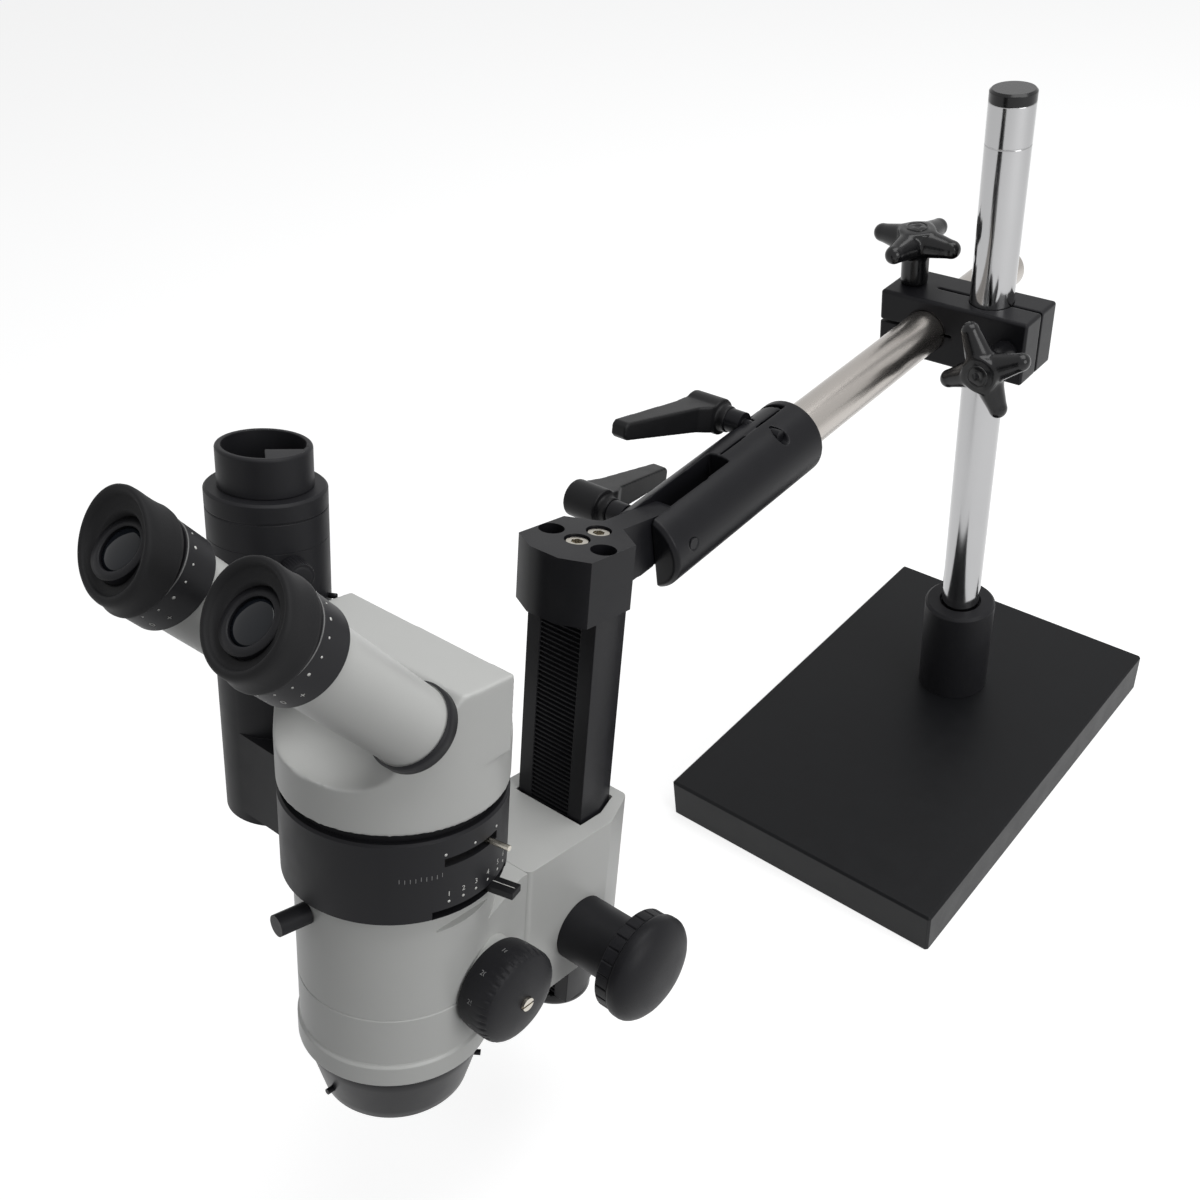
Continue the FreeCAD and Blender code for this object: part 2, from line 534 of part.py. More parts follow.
def head_bracket():
    height = size.block_top - size.block_bottom
    pin_y, pin_z = pin_place()
    block = padded("block_body", "XY_Plane", mirrored([
        (size.block_nose, size.block_front), (size.block_half, size.block_cheek),
        (size.block_half, size.block_shoulder), (size.tongue_half, size.tongue_root)]),
        size.block_bottom, height)
    tongue = padded("tongue_body", "YZ_Plane", [
        (size.block_shoulder, size.block_bottom), (size.tongue_root, size.block_bottom),
        (pin_y - 12, size.tongue_bottom), (pin_y, size.tongue_bottom), (pin_y, size.block_top),
        (size.block_shoulder, size.block_top)],
        -size.tongue_half, 2 * size.tongue_half)
    end = rod("tongue_end", size.tongue_round, 2 * size.tongue_half, (-size.tongue_half, pin_y, pin_z), "+x")
    seat = size.block_top - size.counterbore_depth
    tools = [rod("tongue_pin_hole", size.pin_radius + size.running_gap, 2 * size.tongue_half,
                 (-size.tongue_half, pin_y, pin_z), "+x")]
    spots = [(-size.screw_side, size.screw_row), (size.screw_side, size.screw_row)] + screw_spots()
    for index, (x, y) in enumerate(spots):
        tools.append(rod(f"block_counterbore_{index}", size.counterbore_radius, size.counterbore_depth, (x, y, seat)))
        tools.append(rod(f"block_hole_{index}", size.stud_radius + size.running_gap, height,
                         (x, y, size.block_bottom)))
    node("head_bracket", cut("head_bracket", joined("block_and_tongue", block, tongue, end), *tools), head_frame)


def screw_spots():
    return [(0, size.screw_row), (0, size.screw_back_row)]


def head_screws():
    seat = size.block_top - size.counterbore_depth
    screws = []
    for index, (x, y) in enumerate(screw_spots()):
        head = rod(f"screw_head_{index}", size.screw_head_radius, size.screw_head_height, (x, y, seat))
        shank = rod(f"screw_shank_{index}", size.stud_radius, size.screw_length, (x, y, seat - size.screw_length))
        key = doc.addObject("Part::Prism", f"screw_key_{index}")
        key.Polygon = 6
        bind(key, "Circumradius", size.screw_socket_radius)
        bind(key, "Height", size.screw_socket_depth)
        place(key, (x, y, seat + size.screw_head_height - size.screw_socket_depth))
        screws.append(cut(f"screw_{index}", joined(f"screw_blank_{index}", head, shank), key))
    node("head_screws", joined("head_screws", *screws), head_frame)


def bar_outline(grow):
    return mirrored([
        (size.bar_half + grow, size.bar_front - grow), (size.bar_half + grow, size.bar_cheek + grow * 0.4),
        (size.bar_back_half + grow, size.bar_back + grow)])


def rack_bar():
    blank = padded("bar_body", "XY_Plane", bar_outline(0), size.bar_bottom, size.block_bottom - size.bar_bottom)
    seat = size.block_top - size.counterbore_depth
    depth = size.block_bottom - seat + size.screw_length + 1
    tools = [box("bar_groove", (-size.rack_half, size.bar_front - 1, size.bar_bottom),
                 (size.rack_half, size.bar_front + size.rack_depth, size.rack_top))]
    for index, (x, y) in enumerate(screw_spots()):
        tools.append(rod(f"bar_thread_{index}", size.stud_radius + size.running_gap, depth,
                         (x, y, size.block_bottom - depth)))
    node("rack_bar", cut("rack_bar", blank, *tools), head_frame)
    disc_low = size.bar_bottom - size.disc_height
    frame = head_frame * Placement(Vector(0, size.disc_centre, 0), Rotation())
    node("bar_end_disc", turned("bar_end_disc", [
        (0, disc_low), (size.disc_radius - 3, disc_low), (size.disc_radius - 0.8, disc_low + 1),
        (size.disc_radius, disc_low + 3), (size.disc_radius - 0.8, size.bar_bottom - 1),
        (size.disc_radius - 2, size.bar_bottom), (0, size.bar_bottom)]), frame)


# Rack and pinion: straight flanks, with play between them
TOOTH_TOP = 0.62
TOOTH_ROOT = 0.85
TOOTH_SHARE = 0.40
FLANK_SLOPE = math.tan(math.radians(20))


def focus_rack():
    pitch = math.pi * float(size.gear_module)
    line = float(size.shaft_back + size.gear_module * size.pinion_teeth / 2)
    back = float(size.bar_front + size.rack_depth)
    top = float(size.rack_top)
    bottom = float(size.bar_bottom)
    tip = line - TOOTH_TOP * float(size.gear_module)
    root = line + TOOTH_ROOT * float(size.gear_module)
    tip_half = pitch * TOOTH_SHARE / 2 - (line - tip) * FLANK_SLOPE
    root_half = pitch * TOOTH_SHARE / 2 + (root - line) * FLANK_SLOPE
    middle = float(size.shaft_level) + pitch / 2
    first = math.ceil((bottom + root_half - middle) / pitch)
    last = math.floor((top - root_half - middle) / pitch)
    points = [Vector(0, back, bottom), Vector(0, root, bottom)]
    for index in range(first, last + 1):
        level = middle + index * pitch
        points.append(Vector(0, root, level - root_half))
        points.append(Vector(0, tip, level - tip_half))
        points.append(Vector(0, tip, level + tip_half))
        points.append(Vector(0, root, level + root_half))
    points += [Vector(0, root, top), Vector(0, back, top), Vector(0, back, bottom)]
    face = Part.Face(Part.makePolygon(points))
    face.translate(Vector(-float(size.rack_half), 0, 0))
    node("focus_rack", solid_feature("focus_rack", face.extrude(Vector(2 * float(size.rack_half), 0, 0))), head_frame)


def pinion_shape():
    module = float(size.gear_module)
    count = int(size.pinion_teeth)
    pitch_radius = module * count / 2
    tip = pitch_radius + TOOTH_TOP * module
    root = pitch_radius - TOOTH_ROOT * module
    half = math.pi * module * TOOTH_SHARE / 2
    points = []
    for index in range(count):
        middle = math.radians(90 + 360 / count * index)
        for radius, width in ((root, half * 1.25), (tip, half * 0.45)):
            points.append((radius, middle - width / radius))
        for radius, width in ((tip, half * 0.45), (root, half * 1.25)):
            points.append((radius, middle + width / radius))
    corners = [Vector(0, radius * math.sin(angle), radius * math.cos(angle)) for radius, angle in points]
    wire = Part.makePolygon(corners + corners[:1])
    face = Part.Face(wire)
    half_length = float(size.rack_half) - 0.4
    face.translate(Vector(-half_length, 0, 0))
    return face.extrude(Vector(2 * half_length, 0, 0))


# Focus housing, its lower cover and what turns in them
def housing_outline():
    return mirrored([
        (size.housing_half, size.housing_front), (size.housing_half, size.housing_cheek),
        (size.housing_back_half, size.housing_back)])


def housing_part(label, low, high, *tools):
    body = padded(f"{label}_body", "XY_Plane", housing_outline(), low, high - low)
    rounded = softened(f"{label}_rounded", body, "Part::Fillet", size.housing_round, is_upright)
    bore = padded(f"{label}_slide", "XY_Plane", bar_outline(size.slide_gap), low, high - low)
    node(label, cut(label, rounded, bore, *tools), head_frame)


def focus_housing():
    wide = size.housing_half
    pinion_room = size.gear_module * (size.pinion_teeth / 2 + TOOTH_TOP) + 0.5
    pocket_front = size.housing_front + 5
    pocket_back = size.shaft_back - pinion_room - 6
    housing_part(
        "focus_housing", size.housing_seam, size.housing_top,
        padded("housing_mouth", "XY_Plane", bar_outline(size.housing_mouth),
               size.housing_top - size.mouth_depth, size.mouth_depth),
        rod("housing_shaft_bore", size.shaft_radius + size.running_gap, 2 * wide,
            (-wide, size.shaft_back, size.shaft_level), "+x"),
        rod("housing_pinion_room", pinion_room, 2 * size.rack_half,
            (-size.rack_half, size.shaft_back, size.shaft_level), "+x"),
        box("housing_pocket", (5 - wide, pocket_front, size.housing_seam),
            (wide - 5, pocket_back, size.housing_top - 6)))
    housing_part(
        "housing_cover", size.housing_bottom, size.housing_seam,
        rod("cover_pinion_room", pinion_room, 2 * size.rack_half,
            (-size.rack_half, size.shaft_back, size.shaft_level), "+x"),
        box("cover_pocket", (5 - wide, pocket_front, size.housing_bottom + 4),
            (wide - 5, pocket_back, size.housing_seam)))


def bearing_sleeves():
    sleeves = []
    length = size.bearing_end - size.housing_half
    for name, start, along in (("right", size.housing_half, "+x"), ("left", -size.housing_half, "-x")):
        spot = (start, size.shaft_back, size.shaft_level)
        barrel = rod(f"bearing_{name}", size.bearing_radius, length, spot, along)
        bore = rod(f"bearing_bore_{name}", size.shaft_radius + size.running_gap, length, spot, along)
        sleeves.append(cut(f"bearing_sleeve_{name}", barrel, bore))
    node("bearing_sleeves", joined("bearing_sleeves", *sleeves), head_frame)


def focus_drive():
    reach = size.bearing_end + 8
    frame = head_frame * Placement(Vector(0, size.shaft_back, size.shaft_level), Rotation())
    shaft = rod("focus_axle", size.shaft_radius, 2 * reach, (-reach, 0, 0), "+x")
    node("focus_shaft", joined("focus_shaft", shaft, solid_feature("pinion", pinion_shape())), frame)
    start = size.bearing_end + size.seat_gap
    for side, along in (("right", "+x"), ("left", "-x")):
        label = f"focus_knob_{side}"
        dome = size.focus_cap_end - size.focus_rib_end
        knob = turned(label, [
            (size.shaft_radius, start), (size.focus_knob_radius - 1, start), (size.focus_knob_radius, start + 1),
            (size.focus_knob_radius, size.focus_rib_end), (size.focus_cap_radius, size.focus_rib_end),
            (size.focus_cap_radius, size.focus_rib_end + 2), (size.focus_cap_radius * 0.93, size.focus_rib_end + 4.5),
            (size.focus_cap_radius * 0.78, size.focus_rib_end + dome * 0.62),
            (size.focus_cap_radius * 0.5, size.focus_rib_end + dome * 0.87),
            (0, size.focus_cap_end), (0, reach), (size.shaft_radius, reach)])
        turn = Placement(Vector(), TURN_TO[along])
        node(label, knob, frame * turn)


# Optical body: shell, flared ring, objective, bracket and zoom drive
def optic_frame():
    return head_frame * Placement(Vector(0, size.optic_back, 0), Rotation())


def zoom_body():
    inner = size.body_radius - size.body_wall
    shell = turned("zoom_shell", [
        (0, size.ring_bottom - size.body_wall), (inner, size.ring_bottom - size.body_wall),
        (inner, size.body_bottom), (size.body_radius, size.body_bottom),
        (size.body_radius, size.body_seam - size.groove), (size.body_radius - size.groove, size.body_seam),
        (size.body_radius, size.body_seam + size.groove), (size.body_radius, size.ring_bottom),
        (0, size.ring_bottom)])
    shaft_y = size.zoom_shaft_back - size.optic_back
    wide = size.body_radius
    boss = rod("zoom_boss", size.boss_radius, 2 * wide, (-wide, shaft_y, size.zoom_shaft_level), "+x")
    room = rod("zoom_room", inner, size.ring_bottom - size.body_bottom - size.body_wall, (0, 0, size.body_bottom))
    beams = [rod(f"zoom_beam_{side}", size.beam_radius, size.body_wall,
                 (side * size.beam_half, 0, size.ring_bottom - size.body_wall)) for side in (-1, 1)]
    notch = box("iris_notch", (size.body_radius - 3.2, -14, size.ring_bottom - 11),
                (size.body_radius + 1, 24, size.ring_bottom))
    bore = rod("zoom_shaft_bore", size.shaft_radius + size.running_gap, 2 * wide,
               (-wide, shaft_y, size.zoom_shaft_level), "+x")
    lock_hole = rod("lock_hole", size.thumb_stud + size.running_gap, size.body_radius)
    lock_hole.Placement = lock_place() * Placement(Vector(), TURN_TO["+x"])
    node("zoom_body", cut("zoom_body", joined("zoom_casting", shell, boss), room, bore, notch, lock_hole, *beams),
         optic_frame())


def lock_place():
    """The lock knob's axis runs out along the local X of this place."""
    return Placement(Vector(0, 0, size.lock_level), Rotation(Vector(0, 0, 1), float(slot_turn(size.lock_angle))))


def guide_rods():
    top = size.ring_bottom - size.body_wall
    low = size.body_bottom - 4
    rods = [rod(f"guide_rod_{index}", size.rod_radius, top - low, (side * size.rod_side, 0, low))
            for index, side in enumerate((-1, 1))]
    node("guide_rods", joined("guide_rods", *rods), optic_frame())


def lower_ring():
    inner = size.body_radius - size.body_wall
    blank = turned("flare_turned", [
        (inner, size.body_bottom), (size.body_radius, size.body_bottom),
        (size.body_radius, size.body_bottom - 0.8), (flare_radius, size.body_bottom - 2.2),
        (flare_radius, size.flare_bottom + 1.5), (flare_radius - 1.5, size.flare_bottom),
        (inner - 4, size.flare_bottom), (inner - 4, size.body_bottom - 4), (inner, size.body_bottom - 4)])
    node("lower_ring", blank, optic_frame())


LOCK_PIN_TURNS = (-92.0, 38.0, 153.0)


def objective():
    lens_seat = size.objective_bottom + 4
    inner = size.front_lens_radius
    ring = turned("objective_turned", [
        (inner, size.flare_bottom), (objective_top_radius, size.flare_bottom),
        (objective_top_radius, size.flare_bottom - 3), (size.objective_radius + 1.2, size.objective_bottom + 1.5),
        (size.objective_radius, size.objective_bottom), (inner - 1.5, size.objective_bottom),
        (inner - 1.5, lens_seat), (inner, lens_seat)])
    holes = [lock_pin(f"lock_pin_hole_{index}", turn) for index, turn in enumerate(LOCK_PIN_TURNS)]
    node("objective_ring", cut("objective_ring", ring, *holes), optic_frame())
    node("objective_lens", turned("objective_lens", [
        (0, lens_seat - 1.2), (inner * 0.5, lens_seat - 0.6), (inner - 2, lens_seat), (inner, lens_seat),
        (inner, lens_seat + size.front_lens_height), (0, lens_seat + size.front_lens_height)]), optic_frame())


def lock_pin(name, turn):
    pin = rod(name, size.lock_pin_radius, size.lock_pin_length)
    angle = math.radians(turn)
    start = float(objective_top_radius - size.lock_pin_depth)
    spot = Vector(start * math.cos(angle), start * math.sin(angle), size.lock_pin_level)
    pin.Placement = Placement(spot, Rotation(Vector(0, 0, 1), turn) * TURN_TO["+x"])
    return pin


def objective_pins():
    pins = [lock_pin(f"lock_pin_{index}", turn) for index, turn in enumerate(LOCK_PIN_TURNS)]
    node("objective_pins", joined("objective_pins", *pins), optic_frame())


def scope_bracket():
    block = padded("bracket_body", "XY_Plane", mirrored([
        (size.bracket_wide, size.bracket_front), (size.bracket_half, size.bracket_back - 4),
        (size.bracket_half, size.bracket_back)]),
        size.bracket_bottom, size.housing_top - size.bracket_bottom)
    low = size.bracket_bottom
    tall = size.housing_top - low
    node("scope_bracket", cut(
        "scope_bracket", block,
        rod("bracket_body_seat", size.body_radius, tall, (0, size.optic_back, low)),
        rod("bracket_flare_seat", flare_radius, size.body_bottom - low + 0.6, (0, size.optic_back, low)),
        rod("bracket_boss_seat", size.boss_radius, 2 * size.bracket_wide,
            (-size.bracket_wide, size.zoom_shaft_back, size.zoom_shaft_level), "+x")), head_frame)


def zoom_drive():
    frame = head_frame * Placement(Vector(0, size.zoom_shaft_back, size.zoom_shaft_level), Rotation())
    reach = zoom_knob_end - 3
    node("zoom_shaft", rod("zoom_shaft", size.shaft_radius, 2 * reach, (-reach, 0, 0), "+x"), frame)
    screws = []
    for side, along in (("right", "+x"), ("left", "-x")):
        label = f"zoom_knob_{side}"
        edge = zoom_knob_edge
        knob = turned(label, [
            (size.shaft_radius, zoom_knob_base), (size.zoom_knob_radius - 2, zoom_knob_base),
            (size.zoom_knob_radius - 0.5, zoom_knob_base + 2), (size.zoom_knob_radius, zoom_knob_base + 7),
            (size.zoom_knob_radius - 0.3, edge - 4), (size.zoom_knob_radius - 1.6, edge - 1),
            (size.zoom_knob_radius - 4, edge + 0.6), (size.knob_screw_radius, zoom_knob_end),
            (size.knob_screw_radius, zoom_knob_end - 3), (size.shaft_radius, zoom_knob_end - 3)])
        node(label, knob, frame * Placement(Vector(), TURN_TO[along]))
        head = rod(f"knob_screw_{side}", size.knob_screw_radius, size.knob_screw_height + 3,
                   (reach if side == "right" else -reach, 0, 0), along)
        end = reach + 3 + size.knob_screw_height
        low, high = (end - 1, end) if side == "right" else (-end, 1 - end)
        slot = box(f"knob_slot_{side}", (low, -size.knob_screw_radius, -0.5), (high, size.knob_screw_radius, 0.5))
        screws.append(cut(f"knob_screw_cut_{side}", head, slot))
    node("zoom_knob_screws", joined("zoom_knob_screws", *screws), frame)


def zoom_groups():
    half_width = size.carriage_width / 2
    half_depth = size.carriage_depth / 2
    for name, level in (("upper", size.upper_group_level), ("lower", size.lower_group_level)):
        low = level - size.carriage_height / 2
        high = level + size.carriage_height / 2
        front = -half_depth - 3
        plate = box(f"{name}_plate", (-half_width, front, low), (half_width, front + size.carriage_depth, high))
        tools = []
        lenses = []
        for side in (-1, 1):
            spot = (side * size.beam_half, -1.5, level - size.zoom_lens_height / 2)
            tools.append(rod(f"{name}_bore_{side}", size.zoom_lens_radius, size.carriage_height,
                             (side * size.beam_half, -1.5, low)))
            tools.append(rod(f"{name}_rod_hole_{side}", size.rod_radius + size.running_gap, size.carriage_height,
                             (side * size.rod_side, 0, low)))
            lenses.append(rod(f"{name}_lens_{side}", size.zoom_lens_radius, size.zoom_lens_height, spot))
        node(f"{name}_lens_carriage", cut(f"{name}_lens_carriage", plate, *tools), optic_frame())
        node(f"{name}_zoom_lenses", joined(f"{name}_zoom_lenses", *lenses), optic_frame())


# Photo ring with its levers, the upright photo housing and the camera tube
def photo_ring():
    inner = size.ring_radius - size.ring_wall
    shell = turned("ring_turned", [
        (inner, size.ring_bottom), (size.ring_radius - 0.6, size.ring_bottom),
        (size.ring_radius, size.ring_bottom + 0.6), (size.ring_radius, size.ring_top - 1),
        (size.ring_radius - 1, size.ring_top), (size.neck_radius, size.ring_top),
        (size.neck_radius, size.head_bottom), (inner - 3, size.head_bottom), (inner - 3, size.ring_top),
        (inner, size.ring_top - 3)])
    shelf_low = size.iris_level + size.lever_ring_height / 2 + 0.4
    park = size.prism_park
    half = size.prism_depth / 2
    shelf_block = box("prism_shelf_block", (-inner - 2, -half - 1, shelf_low),
                      (-1, park + half + 0.5, size.shelf_level))
    shelf = shared("prism_shelf", shelf_block,
                   rod("prism_shelf_round", inner + 2, size.shelf_level - shelf_low + 2, (0, 0, shelf_low - 1)))
    slot_height = size.lever_ring_height + 0.4
    wide = size.ring_radius + 1
    photo_slot = sector("photo_slot", wide, slot_height, slot_turn(size.lever_slot_start), slot_turn(size.lever_slot_end),
                        (0, 0, size.lever_level - slot_height / 2))
    iris_slot = sector("iris_slot", wide, slot_height, slot_turn(size.iris_slot_start), slot_turn(size.iris_slot_end),
                       (0, 0, size.iris_level - slot_height / 2))
    core = rod("slot_core", inner, size.ring_top - size.ring_bottom, (0, 0, size.ring_bottom))
    slots = cut("ring_slots", joined("slot_sectors", photo_slot, iris_slot), core)
    beam = rod("shelf_beam", size.beam_radius, 12, (-size.beam_half, 0, shelf_low - 1))
    port = rod("ring_port", size.channel_radius, size.ring_radius,
               (-size.ring_radius - 1, 0.3, size.channel_level + 3), "+x")
    keep = rod("port_keep", inner - 14, 80, (0, 0, size.ring_bottom - 20))
    opening = cut("ring_port_opening", port, keep)
    node("photo_ring", cut("photo_ring", cut("ring_open", joined("ring_whole", shell, shelf), slots), beam, opening),
         optic_frame())


def slot_turn(clock):
    """Angles on the ring are read from the front, towards the right."""
    return clock - 90


def lever_ring(label, inner, level, angle, handle):
    outer = size.ring_radius - size.ring_wall - 0.1
    low = level - size.lever_ring_height / 2
    ring = turned(f"{label}_ring", [
        (inner, low), (outer, low), (outer, low + size.lever_ring_height), (inner, low + size.lever_ring_height)])
    turn = Rotation(Vector(0, 0, 1), float(slot_turn(angle)))
    handle.Placement = Placement(turn.multVec(handle.Placement.Base), turn * handle.Placement.Rotation)
    node(label, joined(label, ring, handle), optic_frame())


def photo_and_iris_levers():
    start = float(size.ring_radius - size.ring_wall) - 1.5
    pin = doc.addObject("Part::Cylinder", "photo_pin")
    bind(pin, "Radius", size.photo_pin_radius)
    bind(pin, "Height", size.photo_pin_reach - start)
    pin.Placement = Placement(Vector(start, 0, float(size.lever_level)), TURN_TO["+x"])
    lever_ring("photo_lever", size.lever_ring_inner, size.lever_level, size.photo_lever_angle, pin)
    tab = doc.addObject("Part::Box", "iris_tab")
    bind(tab, "Length", size.iris_tab_reach - start)
    bind(tab, "Width", size.iris_tab_width)
    bind(tab, "Height", size.lever_ring_height)
    tab.Placement = Placement(Vector(start, -float(size.iris_tab_width) / 2,
                                     float(size.iris_level - size.lever_ring_height / 2)), Rotation())
    lever_ring("iris_lever", size.iris_ring_inner, size.iris_level, size.iris_lever_angle, tab)


def photo_prism():
    half = size.prism_depth / 2
    gap = 0.1
    low = (-size.prism_width - 2, size.prism_park - half, size.shelf_level + gap)
    high = (-2, size.prism_park + half, size.shelf_level + gap + size.prism_height - 1)
    node("photo_prism", box("photo_prism", low, high), optic_frame())


def thumb_turn():
    return Rotation(Vector(0, 0, 1), float(slot_turn(size.thumb_clock)))


def photo_housing():
    frame = head_frame * Placement(Vector(size.port_side, size.optic_back - 0.3, 0), Rotation())
    reach = -size.port_side
    half = size.port_block_half
    pillar = rod("port_pillar", size.port_radius, size.port_seam - size.port_bottom, (0, 0, size.port_bottom))
    block = box("port_block", (0, -half, size.port_block_bottom), (reach - size.body_radius + 4, half, size.port_block_top))
    ring_seat = rod("port_ring_seat", size.ring_radius + size.seat_gap, size.ring_top - size.ring_bottom + 0.5,
                    (reach, 0.3, size.ring_bottom - 0.3))
    head_seat = rod("port_head_seat", size.ring_radius + 0.2, 60, (reach, 0.3, size.ring_top + 0.1))
    body_seat = rod("port_body_seat", size.body_radius + 0.3, 60, (reach, 0.3, size.ring_bottom - 60))
    bore = rod("port_bore", size.port_tube_bore, size.port_seam - size.channel_level, (0, 0, size.channel_level))
    channel = rod("port_channel", size.channel_radius, reach, (0, 0, size.channel_level + 3), "+x")
    stud = rod("thumb_stud_hole", size.thumb_stud + size.running_gap, size.port_radius + 1,
               (0, 0, size.thumb_level), "+x")
    stud.Placement = Placement(stud.Placement.Base, thumb_turn() * TURN_TO["+x"])
    node("photo_housing", cut("photo_housing", joined("port_casting", pillar, block),
                              ring_seat, head_seat, body_seat, bore, channel, stud), frame)
    node("phototube_mount", turned("phototube_mount", [
        (size.port_tube_bore, size.port_seam), (size.port_radius, size.port_seam),
        (size.port_radius, size.port_groove - 0.4), (size.port_radius - 0.4, size.port_groove),
        (size.port_radius, size.port_groove + 0.4), (size.port_radius, size.port_flange - 1),
        (size.port_radius - 1, size.port_flange), (size.port_tube_bore, size.port_flange)]), frame)
    tube = turned("phototube_turned", [
        (0, size.port_flange), (size.port_tube_radius, size.port_flange),
        (size.port_tube_radius, size.port_top - 0.8), (size.port_tube_radius - 0.8, size.port_top), (0, size.port_top)])
    wide = 2 * size.port_tube_radius
    tall = size.port_top - size.port_flange
    chord = box("phototube_chord", (0, -wide / 2, 0), (wide, wide / 2, tall + 2))
    turn = math.radians(slot_turn(size.port_chord_angle))
    near = float(size.port_chord_reach)
    chord.Placement = Placement(
        Vector(near * math.cos(turn), near * math.sin(turn), float(size.port_flange) - 1),
        Rotation(Vector(0, 0, 1), float(slot_turn(size.port_chord_angle))))
    for axis in "xyz":
        chord.setExpression(f"Placement.Base.{axis}", None)
    bore = cut("phototube_bore", rod("phototube_round", size.port_tube_bore, tall, (0, 0, size.port_flange)), chord)
    node("phototube_top", cut("phototube_top", tube, bore), frame)
    start = size.port_radius + size.seat_gap
    thumb = joined("thumbscrew",
                   rod("thumb_head", size.thumb_radius, size.thumb_length, (start, 0, size.thumb_level), "+x"),
                   rod("thumb_shank", size.thumb_stud, start - size.port_tube_bore,
                       (size.port_tube_bore, 0, size.thumb_level), "+x"))
    node("port_thumbscrew", thumb, frame * Placement(Vector(), thumb_turn()))


def tube_lock_knob():
    frame = optic_frame() * lock_place()
    start = size.body_radius + size.seat_gap
    head = rod("lock_head", size.lock_radius, size.lock_length, (start, 0, 0), "+x")
    shank = rod("lock_shank", size.thumb_stud, size.body_wall, (start - size.body_wall, 0, 0), "+x")
    node("tube_lock_knob", joined("tube_lock_knob", head, shank), frame)


# Binocular head: round skirt, square shoulders, and a face square to the eyepiece tubes
def binocular_head():
    skirt = rod("head_skirt", size.head_radius, size.head_top - size.head_bottom,
                (0, size.optic_back, size.head_bottom))
    front = size.optic_back - size.head_radius
    block = box("head_shoulders", (-size.head_half, size.optic_back, size.block_floor),
                (size.head_half, size.head_back, size.head_top))
    behind = box("head_behind", (-size.head_radius, size.head_back, size.block_floor),
                 (size.head_radius, size.head_back + size.head_radius, size.head_top + 1))
    whole = joined("head_casting", cut("head_skirt_flat", skirt, behind), block)
    face_back = size.head_top - size.face_offset
    wedge = padded("head_face_wedge", "YZ_Plane", [
        (face_back, size.head_top), (face_back + 1, size.head_top + 1), (front - 2, size.head_top + 1),
        (front - 2, front - 2 + size.face_offset)], -size.head_half - 1, 2 * size.head_half + 2)
    inside_front = front + size.head_wall + 14
    inner = size.head_radius - size.head_wall
    floor = size.head_bottom + size.head_floor
    room = rod("head_room", inner, size.block_floor - size.head_floor - floor, (0, size.optic_back, floor))
    shaft = rod("head_shaft", inner, size.head_top - floor, (0, size.optic_back, floor))
    beams = [rod(f"head_beam_{side}", size.beam_radius, size.head_floor + 1,
                 (side * size.beam_half, size.optic_back, size.head_bottom)) for side in (-1, 1)]
    upper_room = padded("head_upper_room", "YZ_Plane", [
        (size.head_back - size.head_wall, size.block_floor - size.head_floor - 1),
        (size.head_back - size.head_wall, size.head_top - size.head_wall),
        (face_back + 3, size.head_top - size.head_wall),
        (inside_front, size.block_floor - size.head_floor - 1)],
        -size.head_half + 3, 2 * size.head_half - 6)
    dish = doc.addObject("Part::Ellipsoid", "head_dish")
    bind(dish, "Radius1", size.dish_depth)
    bind(dish, "Radius2", size.dish_half)
    bind(dish, "Radius3", size.dish_depth)
    place(dish, (0, size.dish_back, size.dish_level))
    dish_wall = doc.addObject("Part::Ellipsoid", "head_dish_wall")
    bind(dish_wall, "Radius1", size.dish_depth + size.head_floor)
    bind(dish_wall, "Radius2", size.dish_half + size.head_floor)
    bind(dish_wall, "Radius3", size.dish_depth + size.head_floor)
    place(dish_wall, (0, size.dish_back, size.dish_level))
    lower_room = cut("head_room_walled", room, dish_wall)
    inside = cut("head_inside_walled", shared("head_inside", upper_room, shaft), dish_wall)
    tools = [wedge, dish, lower_room, inside] + beams
    for side, name in ((1, "right"), (-1, "left")):
        slot = box(f"stem_slot_{name}",
                   (-stem_reach(side)[0], -size.stem_depth / 2 - 0.1, size.collar_root - size.stem_length - 14),
                   (stem_reach(side)[1], size.stem_depth / 2 + 0.1, size.collar_root + 1))
        frame = head_frame.inverse() * eye_frame(side)
        slot_piece = solid_feature(f"stem_slot_placed_{name}", Part.Shape())
        doc.recompute()
        shape = slot.Shape.copy()
        shape.Placement = frame * slot.Placement
        slot_piece.Shape = shape
        tools.append(slot_piece)
    node("binocular_head", cut("binocular_head", whole, *tools), head_frame)


def erecting_prisms():
    half = size.beam_radius
    floor = size.head_bottom + size.head_floor
    low = size.beam_half - size.beam_radius
    right = box("erecting_prism_right", (low, size.optic_back - half, floor),
                (size.pupil_half + 5, size.optic_back + half, floor + 2 * half))
    left = box("erecting_prism_left", (-size.pupil_half - 5, size.optic_back - half, floor),
               (-low, size.optic_back + half, floor + 2 * half))
    node("erecting_prisms", joined("erecting_prisms", left, right), head_frame)


def stem_reach(side):
    """How far the slot for a tube's stem runs to the tube's left and right."""
    inward = size.stem_width / 2 + size.stem_inset + size.pupil_in + 0.1
    outward = size.stem_width / 2 - size.stem_inset + size.pupil_out + 0.1
    return (inward, outward) if side > 0 else (outward, inward)


